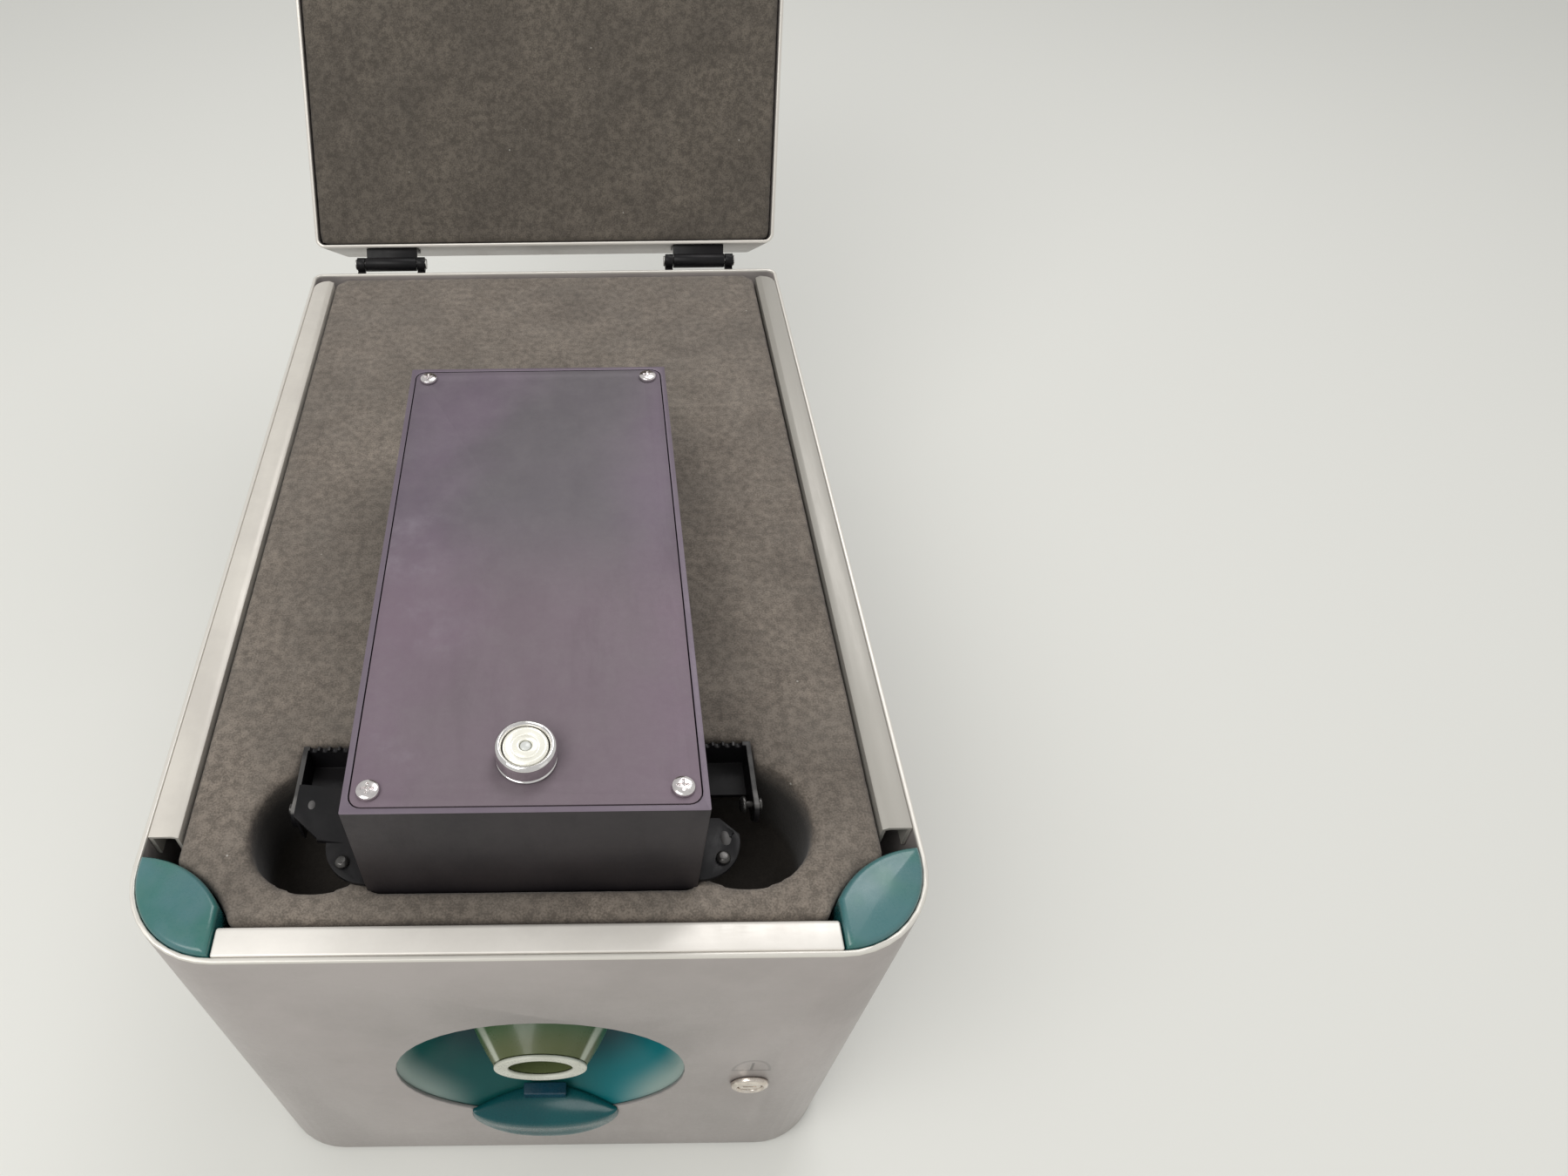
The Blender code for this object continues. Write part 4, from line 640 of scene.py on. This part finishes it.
hub_low, hub_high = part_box("grip_hub")
ring_low, ring_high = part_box("grip_ring")
hub_z = (ring_low.z + ring_high.z) / 2
hub_half = (ring_high.x - ring_low.x) / 2
hub_oval = (ring_high.z - ring_low.z) / (ring_high.x - ring_low.x)
bore_half = 0.0145
hub_front, hub_back = hub_low.y, hub_high.y
s = np.linspace(0, 1, 16)
flare = 1 - (1 - s) ** 1.6
flank = np.stack([hub_half + (hub_high.x - hub_half) * flare,
                  hub_front + (hub_back - hub_front) * s], axis=1)
hub_profile = np.vstack([
    [[0.0, front_y + 0.024]], [[bore_half * 0.7, front_y + 0.0232]],
    [[bore_half, front_y + 0.0190]], [[bore_half, hub_front]], flank, [[0.0, hub_back]]])
hub = skin("grip_hub_moulded", lathe(hub_profile, (0, 0, hub_z), oval=hub_oval), sharp=35)


def hub_painted_highlight_lines(tree, where, colour):
    """Painted highlights run as paler lines along the hub's left and right moulded edges, and its
    top is browner at the front.
    """
    x, y, z = add(tree, "SeparateXYZ", {0: where}).outputs
    run = sums(tree, "SUBTRACT", y, hub_front)
    edge = sums(tree, "MULTIPLY_ADD", run, 1.5 * (hub_high.x - hub_half) / (hub_back - hub_front),
                hub_half)
    share = sums(tree, "DIVIDE", sums(tree, "ABSOLUTE", x), edge)
    high = level(tree, sums(tree, "SUBTRACT", z, hub_z), -0.004, 0.004)
    line = sums(tree, "MULTIPLY", sums(tree, "MULTIPLY", level(tree, share, 0.83, 0.88),
                                       level(tree, share, 0.92, 0.965, 1, 0)), high)
    colour = tint(tree, level(tree, run, 0.022, 0.002), colour, (0.095, 0.115, 0.045, 1))
    return tint(tree, sums(tree, "MULTIPLY", line, 0.8), colour, (0.52, 0.56, 0.46, 1))


olive = finish("olive hub", (0.036, 0.160, 0.060), (0.028, 0.130, 0.062), (0.26, 0.4), 0.0,
               clouds=24.0, wipes=0.3, grain=900.0, rise=6e-6, dust=0.03, extra=hub_painted_highlight_lines,
               Specular_IOR_Level=0.3, Coat_Weight=0.2, Coat_Roughness=0.1)
fit(hub, olive, "grip_hub", "olive")

cream = finish("cream ring", (0.62, 0.63, 0.55), (0.53, 0.54, 0.46), (0.25, 0.4), clouds=60.0,
               wipes=0.3, grain=900.0, rise=8e-6, dust=0.05)
ring_profile = softened([(bore_half, ring_low.y), (hub_half, ring_low.y), (hub_half, ring_high.y),
                         (bore_half, ring_high.y)], 0.0009, closed=True)
ring = skin("grip_ring_moulded", lathe(ring_profile, (0, 0, hub_z), oval=hub_oval), sharp=50)
fit(ring, cream, "grip_ring", "cream")


def pad_points(rows=72, columns=57):
    """The thumb pad as a skin over the panel and the dish's lower wall. d runs from minus, out on
    the panel, to plus, down the dish's cone; u runs across. The underside keeps to an arc round
    the dish's axis, and the top stands off it along a direction that turns from forwards to
    upwards over the opening's edge. Height falls to nothing at the sides and at both ends."""
    below, inside, slope = 0.0250, 0.0116, 0.75
    t = np.linspace(0, 1, rows)[:, None]
    d = -below + (below + inside) * t
    u = np.sin(np.linspace(-math.pi / 2, math.pi / 2, columns))[None, :]
    share = np.clip(d / inside, 0, 1)
    out = np.clip(-d / below, 0, 1)
    half = 0.0370 * np.where(d > 0, (1 - share) ** 0.5 * (1 - 0.12 * share),
                             (1 - out ** 3.2) ** 0.5)
    half = half * (1 - 0.035 * np.exp(-(d / 0.006) ** 2))
    x = half * u
    reach = np.where(d > 0, dish_r - 0.0006 - slope * d, dish_r - 0.0006 - d)
    z = grip_z - np.sqrt(reach ** 2 - x ** 2)
    y = np.where(d > 0, front_y + d, front_y - 0.0003) + 0 * x
    turning = np.clip((d + 0.0035) / 0.0065, 0, 1)
    turning = turning * turning * (3 - 2 * turning)
    lean = turning * math.atan2(0.8, 0.6)
    lip = 0.0064 * (1 - out ** 5) ** 0.5 * (1 - 0.25 * np.exp(-((out - 0.45) / 0.3) ** 2))
    dome = 0.0058 * (1 - share ** 2.2)
    height = lip * (1 - turning) + dome * turning
    swell = (1 - np.abs(u) ** 2.4) ** 0.45 * height
    top = np.dstack([x, y - swell * np.cos(lean), z + swell * np.sin(lean)])
    under = np.dstack([x, y, z])[:, ::-1]
    grid = np.hstack([top, under[:, 1:-1]])
    ends = [np.repeat(grid[row].mean(axis=0)[None], grid.shape[1], axis=0)[None] for row in (0, -1)]
    return np.vstack([ends[0], grid, ends[1]])


pad_teal = finish("pad teal", (0.004, 0.078, 0.086), (0.003, 0.064, 0.074), (0.24, 0.36),
                  clouds=30.0, wipes=0.25, grain=700.0, rise=2e-6, dust=0.01,
                  Specular_IOR_Level=0.25, Coat_Weight=0.15, Coat_Roughness=0.16)
fit(skin("grip_pad_moulded", pad_points(), sharp=60), pad_teal, "grip_pad", "teal")
deep_teal = finish("deep teal stop", (0.004, 0.050, 0.085), (0.003, 0.038, 0.065), (0.25, 0.4),
                   clouds=60.0, grain=900.0, rise=8e-6, dust=0.03)
eased("grip_stop", deep_teal, "deep_teal", 0.0006, 3)


# Lock ------------------------------------------------------------------------------------
# A die-cast cam lock through the front: a nickel-plated collar that stands 3 mm proud, its
# turning core with a level keyway, a hexagon nut behind, and the crank that draws the latch.

bright_nickel = finish("warm nickel plate", (0.80, 0.74, 0.67), (0.62, 0.55, 0.49), (0.16, 0.34),
                       0.9, clouds=180.0, wipes=0.5, grain=2200.0, rise=6e-6, dust=0.08)
collar_r, collar_front = (lock_high.x - lock_low.x) / 2, lock_low.y
core_bore = 0.0056
collar_profile = softened(
    [(core_bore, collar_front + 0.0010), (core_bore + 0.0006, collar_front + 0.0003),
     (collar_r - 0.0022, collar_front), (collar_r - 0.0003, collar_front + 0.0009),
     (collar_r, front_y - 0.0003), (0.0078, front_y - 0.0003), (0.0078, lock_high.y),
     (core_bore, lock_high.y)], 0.0005, closed=True)
collar = skin("lock_collar", lathe(collar_profile, (lock_x, 0, lock_z), count=72), sharp=50)
fit(collar, bright_nickel, "lock_body", "chrome")
eased("lock_core", bright_nickel, "chrome", 0.00025, 2)

steel = finish("zinc plated steel", (0.55, 0.54, 0.52), (0.42, 0.41, 0.40), (0.26, 0.42), 0.95,
               clouds=60.0, wipes=0.4, grain=1500.0, rise=1e-5, dust=0.1)
for node in ("lock_nut", "lock_cam", "latch_bar", "lid_keeper"):
    eased(node, steel, "steel", 0.00015, 2)


# Base and shelf --------------------------------------------------------------------------
# A steel bottom panel on a ribbed rubber mat, and a steel shelf on two folded ledges, which
# carries the foam.

for node in ("base_panel", "shelf_panel", "shelf_ledge_left", "shelf_ledge_right"):
    eased(node, steel, "steel", 0.0002, 2)
mat_rubber = finish("black rubber", (0.028, 0.028, 0.028), (0.045, 0.044, 0.042), (0.72, 0.9),
                    clouds=40.0, wipes=0.2, grain=700.0, rise=6e-5, dust=0.2)
eased("base_mat", mat_rubber, "rubber", 0.0008, 3)


# Instrument ------------------------------------------------------------------------------
# A box of black-violet anodised aluminium, its cover a plate let flush into the top and held
# by four cross-recess screws. Handling has left the cover's sheen cloudy and purple, and a
# lighter, warmer plum towards its front is a painted sheen.


def cover_clouds_and_painted_sheen(tree, where, colour):
    """Wide cloudy patches on the cover: greyer in the middle, violet at the sides, a lighter
    warmer plum towards the front that is a painted sheen, and pale smears at the front left."""
    x, y, _ = add(tree, "SeparateXYZ", {0: where}).outputs
    wander = add(tree, "TexNoise", {"Vector": where, "Scale": 7.0, "Detail": 3.0}).outputs[0]
    off = sums(tree, "MULTIPLY_ADD", sums(tree, "SUBTRACT", wander, 0.5), 0.16, x)
    grey = sums(tree, "MULTIPLY", level(tree, off, -0.035, 0.0),
                level(tree, off, 0.03, 0.062, 1, 0))
    colour = tint(tree, sums(tree, "MULTIPLY", grey, 0.7), colour, (0.132, 0.127, 0.132, 1))
    # Painted sheen: the cover is painted a lighter, warmer plum towards the front.
    front = sums(tree, "MULTIPLY", level(tree, y, -0.045, -0.120), 0.5)
    colour = tint(tree, front, colour, (0.215, 0.155, 0.190, 1))
    smear = add(tree, "TexNoise", {"Vector": where, "Scale": 24.0, "Detail": 6.0,
                                   "Roughness": 0.65}).outputs[0]
    place = sums(tree, "MULTIPLY", level(tree, x, -0.012, -0.050), level(tree, y, 0.02, -0.10))
    pale_smear = sums(tree, "MULTIPLY", level(tree, smear, 0.5, 0.72), place)
    return tint(tree, sums(tree, "MULTIPLY", pale_smear, 0.5), colour, (0.30, 0.27, 0.31, 1))


cover_plum = finish("plum anodised cover", (0.175, 0.140, 0.178), (0.138, 0.115, 0.142),
                    (0.56, 0.70), 0.5, clouds=14.0, wipes=0.45, grain=2200.0, rise=8e-6,
                    dust=0.16, dust_tone=(0.32, 0.30, 0.31, 1), extra=cover_clouds_and_painted_sheen)


def box_top_painted_sheen(tree, where, colour):
    """Faces of the box that look up are painted the cover's paler plum, as a painted sheen."""
    normal = add(tree, "NewGeometry").outputs["Normal"]
    up = level(tree, add(tree, "SeparateXYZ", {0: normal}).outputs[2], 0.25, 0.75)
    return tint(tree, up, colour, (0.150, 0.120, 0.155, 1))


box_plum = finish("black violet anodised box", (0.030, 0.025, 0.028), (0.019, 0.016, 0.019),
                  (0.42, 0.56), 0.3, clouds=24.0, wipes=0.35, grain=2000.0, rise=1e-5, dust=0.06,
                  extra=box_top_painted_sheen)
eased("housing", box_plum, "anodised", 0.0004, 3)
eased("cover_plate", cover_plum, "anodised", 0.00035, 3)

screw_chrome = finish("bright screw", (0.86, 0.83, 0.82), (0.72, 0.68, 0.69), (0.1, 0.24), 1.0,
                      clouds=300.0, wipes=0.4, grain=2500.0, rise=3e-6, dust=0.05)


def cross_head(low_z, radius, height, centre, reach, half_slot, deep, rows=34, count=96):
    """A pan head as a height over polar coordinates: a dome that falls to a short wall, less a
    cross of two round-ended slots whose walls ease over a tenth of a millimetre."""
    r = np.linspace(0, 1, rows) ** 0.8 * radius
    a = np.linspace(0, 2 * math.pi, count, endpoint=False)
    x, y = r[:, None] * np.cos(a), r[:, None] * np.sin(a)
    dome = height * (0.45 + 0.55 * np.sqrt(np.clip(1 - (r / radius) ** 2.4, 0, 1)))[:, None]

    def slot_mask(u, v):
        past = np.clip(np.abs(u) - (reach - half_slot), 0, None)
        away = np.hypot(past, v)
        return np.clip((half_slot * 1.15 - away) / 0.00016, 0, 1)

    star = np.maximum(slot_mask(x, y), slot_mask(y, x))
    z = dome - deep * star * (1 - 0.35 * r[:, None] / reach)
    top = np.dstack([x, y, z])
    wall = np.dstack([x[-1:], y[-1:], np.zeros((1, count))])
    base = np.zeros((1, count, 3))
    return np.vstack([top, wall, base]) + np.array([centre[0], centre[1], low_z])


def shank(node_low, radius, top_z, centre, count=24):
    """The threaded part below a head: its radius follows a triangle wave of the depth."""
    depth = np.linspace(0, top_z - node_low, 41)
    wave = radius - 0.00022 * np.abs((depth / 0.0007) % 1 - 0.5) * 2
    thread = np.stack([wave, top_z - depth], axis=1)
    profile = np.vstack([[[0.0, top_z]], thread, [[0.0, node_low]]])
    return lathe(profile, (centre[0], centre[1], 0), "Z", count)


def joined(name, grids, sharp=40):
    """One piece from several closed skins."""
    pieces = [skin(f"{name}_{index}", grid, sharp=sharp) for index, grid in enumerate(grids)]
    bm = bmesh.new()
    for piece in pieces:
        bm.from_mesh(piece.data)
        bpy.data.objects.remove(piece)
    mesh = bpy.data.meshes.new(name)
    bm.to_mesh(mesh)
    bm.free()
    made = bpy.data.objects.new(name, mesh)
    scene.collection.objects.link(made)
    return made


cover_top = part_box("cover_plate")[1].z
for word in ("front_left", "front_right", "rear_left", "rear_right"):
    node = "cover_screw_" + word
    low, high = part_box(node)
    middle = ((low.x + high.x) / 2, (low.y + high.y) / 2)
    head = cross_head(cover_top + 0.0003, (high.x - low.x) / 2, high.z - cover_top - 0.0003, middle,
                      0.0023, 0.00042, 0.0011)
    screw = joined(node + "_turned", [head, shank(low.z, 0.0019, cover_top + 0.0004, middle)])
    fit(screw, screw_chrome, node, "chrome")


# Push button -----------------------------------------------------------------------------
# A turned and plated power button: a body with a rolled rim and a threaded barrel held by a
# nut under the cover, a sprung cap with a dished ring, and a small light window in it.

button_chrome = finish("bright button plate", (0.88, 0.87, 0.86), (0.76, 0.74, 0.74), (0.05, 0.16),
                       1.0, clouds=120.0, wipes=0.4, grain=2500.0, rise=2e-6, dust=0.03)
cap_metal = finish("creamy brushed cap", (0.97, 0.96, 0.87), (0.93, 0.92, 0.83), (0.2, 0.34), 0.35,
                   clouds=120.0, wipes=0.4, grain=2500.0, rise=4e-6, dust=0.03)
body_low, body_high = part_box("button_body")
button_x, button_y = (body_low.x + body_high.x) / 2, (body_low.y + body_high.y) / 2
button_top, button_r = body_high.z, (body_high.x - body_low.x) / 2
press_low, press_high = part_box("button_cap")
press_r = (press_high.x - press_low.x) / 2
well_r = press_r + 0.0004
seat = cover_top + 0.0003
body_profile = softened(
    [(well_r, button_top - 0.0012), (well_r + 0.0007, button_top - 0.0001),
     (button_r - 0.0011, button_top), (button_r, button_top - 0.0010), (button_r, seat + 0.0016),
     (button_r - 0.0005, seat + 0.0012), (button_r - 0.0005, seat + 0.0008),
     (button_r, seat + 0.0005), (button_r, seat), (0.0080, seat), (0.0080, body_low.z),
     (0.0068, body_low.z), (0.0068, button_top - 0.0066), (well_r, button_top - 0.0066)],
    0.0006, closed=True)
button_at = (button_x, button_y, 0)
button_body = skin("button_body_turned", lathe(body_profile, button_at, "Z", 112), sharp=50)
fit(button_body, button_chrome, "button_body", "chrome")
press_top = press_high.z
lens_r = 0.0022
press_profile = softened(
    [(0.0, press_top - 0.0020), (lens_r, press_top - 0.0020), (lens_r, press_top - 0.0003),
     (lens_r + 0.0005, press_top - 0.00005), (press_r * 0.52, press_top - 0.0004),
     (press_r * 0.60, press_top - 0.0007), (press_r * 0.68, press_top - 0.0004),
     (press_r * 0.88, press_top), (press_r, press_top - 0.0006), (press_r, press_low.z),
     (0.0, press_low.z)], 0.0004)
press_cap = skin("button_cap_turned", lathe(press_profile, button_at, "Z", 96), sharp=50)
fit(press_cap, cap_metal, "button_cap", "chrome")
window_low, window_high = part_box("button_window")
window_r = (window_high.x - window_low.x) / 2
s = np.linspace(0, 1, 7)
window_profile = np.vstack([
    np.stack([window_r * np.sin(s * math.pi / 2),
              window_high.z - 0.0006 * (1 - np.cos(s * math.pi / 2))], axis=1),
    [[window_r, window_low.z]], [[0.0, window_low.z]]])
window = skin("button_window_moulded", lathe(window_profile, button_at, "Z", 40), sharp=60)
milky = finish("milky window", (0.66, 0.68, 0.66), (0.58, 0.60, 0.58), (0.12, 0.22), clouds=200.0,
               grain=1500.0, rise=2e-6, dust=0.02, Coat_Weight=0.5)
fit(window, milky, "button_window", "glass")
eased("button_nut", steel, "steel", 0.0002, 2)


# Ears and arms ---------------------------------------------------------------------------
# Folded black ears bolted to the instrument's sides carry the arms, open scoops with a
# scalloped rear edge that lift about a pivot bolt. A domed buffer sits in each ear's fold.


def worn_and_highlit_edges(word, side):
    """The coat is painted pale along the upper edge of the arm's outer wall: partly wear, partly a
    painted highlight.
    """
    arm_low, arm_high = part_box("side_arm_" + word)
    middle = abs(arm_low.x + arm_high.x) / 2

    def wear_and_highlight(tree, where, colour):
        x, _, z = add(tree, "SeparateXYZ", {0: where}).outputs
        noise = add(tree, "TexNoise", {"Vector": where, "Scale": 90.0, "Detail": 4.0}).outputs[0]
        patchy = level(tree, noise, 0.32, 0.6, 0.35, 1.0)
        brow = level(tree, z, arm_high.z - 0.0013, arm_high.z - 0.0004)
        outward = sums(tree, "MULTIPLY", x, side)
        far = level(tree, outward, middle - 0.001, middle + 0.001)
        worn_and_highlit = sums(tree, "MULTIPLY", sums(tree, "MULTIPLY", brow, far), patchy)
        return tint(tree, worn_and_highlit, colour, (0.16, 0.155, 0.15, 1))

    return wear_and_highlight


def coat(name, extra=None):
    """The black coat of the ears, the arms and the small black parts."""
    return finish(name, (0.0065, 0.0065, 0.0075), (0.011, 0.010, 0.011), (0.34, 0.5), 0.0,
                  clouds=50.0, wipes=0.35, grain=1300.0, rise=2e-5, dust=0.03,
                  dust_tone=(0.12, 0.115, 0.115, 1), extra=extra, Specular_IOR_Level=0.2)


black_coat = coat("black coated metal")
dark_steel = finish("blackened steel", (0.10, 0.097, 0.094), (0.055, 0.053, 0.052),
                    (0.26, 0.4), 0.8, clouds=160.0, wipes=0.4, grain=1800.0, rise=6e-6, dust=0.05)
buffer_rubber = finish("grey buffer rubber", (0.115, 0.11, 0.11), (0.075, 0.072, 0.072),
                       (0.5, 0.68), clouds=120.0, wipes=0.3, grain=900.0, rise=2e-5, dust=0.1)
for word, side in (("left", -1), ("right", 1)):
    eased("ear_" + word, black_coat, "black", 0.0003, 2)
    arm_coat = coat("black coat of the " + word + " arm", worn_and_highlit_edges(word, side))
    eased("side_arm_" + word, arm_coat, "black", 0.00035, 2)
    for node in ("ear_bolt_" + word, "pivot_bolt_" + word):
        eased(node, dark_steel, "steel", 0.00025, 2)
    ear_low, ear_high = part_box("ear_" + word)
    wall = ear_high.x if side > 0 else -ear_low.x
    a = np.linspace(0, math.pi / 2, 12)
    buffer_profile = np.vstack([
        [[0.0, ear_high.z - 0.0062]], [[0.0026, ear_high.z - 0.0062]],
        np.stack([0.0027 * np.cos(a), ear_high.z - 0.0036 + 0.0032 * np.sin(a)], axis=1)])
    spot = (side * (wall - 0.0056), ear_high.y - 0.0088, 0)
    buffer = skin("ear_buffer_" + word, lathe(buffer_profile, spot, "Z", 40, oval=1.5), sharp=60)
    buffer.data.materials.append(buffer_rubber)
    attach(buffer, "case")


# Hinges ----------------------------------------------------------------------------------
# Two black folded leaves on one steel pin each, one leaf screwed to the case's back and the
# other to the lid's.

for word in ("left", "right"):
    eased("hinge_leaf_case_" + word, black_coat, "black", 0.0003, 2)
    eased("hinge_leaf_lid_" + word, black_coat, "black", 0.0003, 2)
    eased("hinge_pin_" + word, steel, "steel", 0.0003, 2)


# Lid -------------------------------------------------------------------------------------
# A tray of the same satin sheet, hinged along the rear, filled with dark foam that is hollow
# where the instrument stands up, and two steel keepers that the latch hooks.

lid_foam = foam_finish("dark lid foam", (0.158, 0.135, 0.110), (0.120, 0.103, 0.085),
                       (0.070, 0.060, 0.050))


def lid_cut_edge(tree, where, colour):
    """The lid's bare cut edge is bright: it lies in the plane through the hinge line."""
    turned_by = math.radians(-123.0)
    away = Vector((0, -math.sin(turned_by), math.cos(turned_by)))
    pin_low, pin_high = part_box("hinge_pin_left")
    hinge = (pin_low + pin_high) / 2
    reach = add(tree, "VectorMath", {0: where, 1: away}, operation="DOT_PRODUCT").outputs["Value"]
    height = sums(tree, "SUBTRACT", reach, away.dot(hinge))
    return tint(tree, level(tree, height, 0.0024, 0.0014), colour, (0.70, 0.67, 0.62, 1))


lid_sheet = finish("satin lid sheet", (0.46, 0.43, 0.41), (0.38, 0.36, 0.34), (0.34, 0.5), 0.45,
                   clouds=9.0, wipes=0.3, grain=1800.0, rise=1.2e-5, dust=0.04, extra=lid_cut_edge)
eased("lid_shell", lid_sheet, "grey_sheet", 0.0005)
foam_block("lid_foam", "lid_foam_block", 0.0031, 0.0002, lid_foam, 23)


# Inside the instrument -------------------------------------------------------------------
# The optical bench with its lamp, slit, two mirrors, grating and detector, the main board,
# the battery, and the two sockets in the box's walls.

green_board = finish("green board", (0.03, 0.19, 0.09), (0.022, 0.14, 0.07), (0.3, 0.45),
                     clouds=90.0, grain=1500.0, rise=1e-5, dust=0.1, Coat_Weight=0.2)
grating_glass = finish("ruled glass", (0.62, 0.66, 0.70), (0.50, 0.56, 0.66), (0.05, 0.15), 0.6,
                       clouds=120.0, grain=2500.0, rise=2e-6, dust=0.05)
inside = {
    "optical_bench": (black_coat, "black"), "entrance_slit": (black_coat, "black"),
    "charging_socket": (black_coat, "black"), "light_source": (steel, "steel"),
    "collimating_mirror": (button_chrome, "chrome"), "focusing_mirror": (button_chrome, "chrome"),
    "fibre_port": (screw_chrome, "chrome"), "grating": (grating_glass, "glass"),
    "detector_board": (green_board, "board"), "main_board": (green_board, "board"),
    "battery": (mat_rubber, "rubber"),
}
for node, (material, slot) in inside.items():
    eased(node, material, slot, 0.0002, 2)
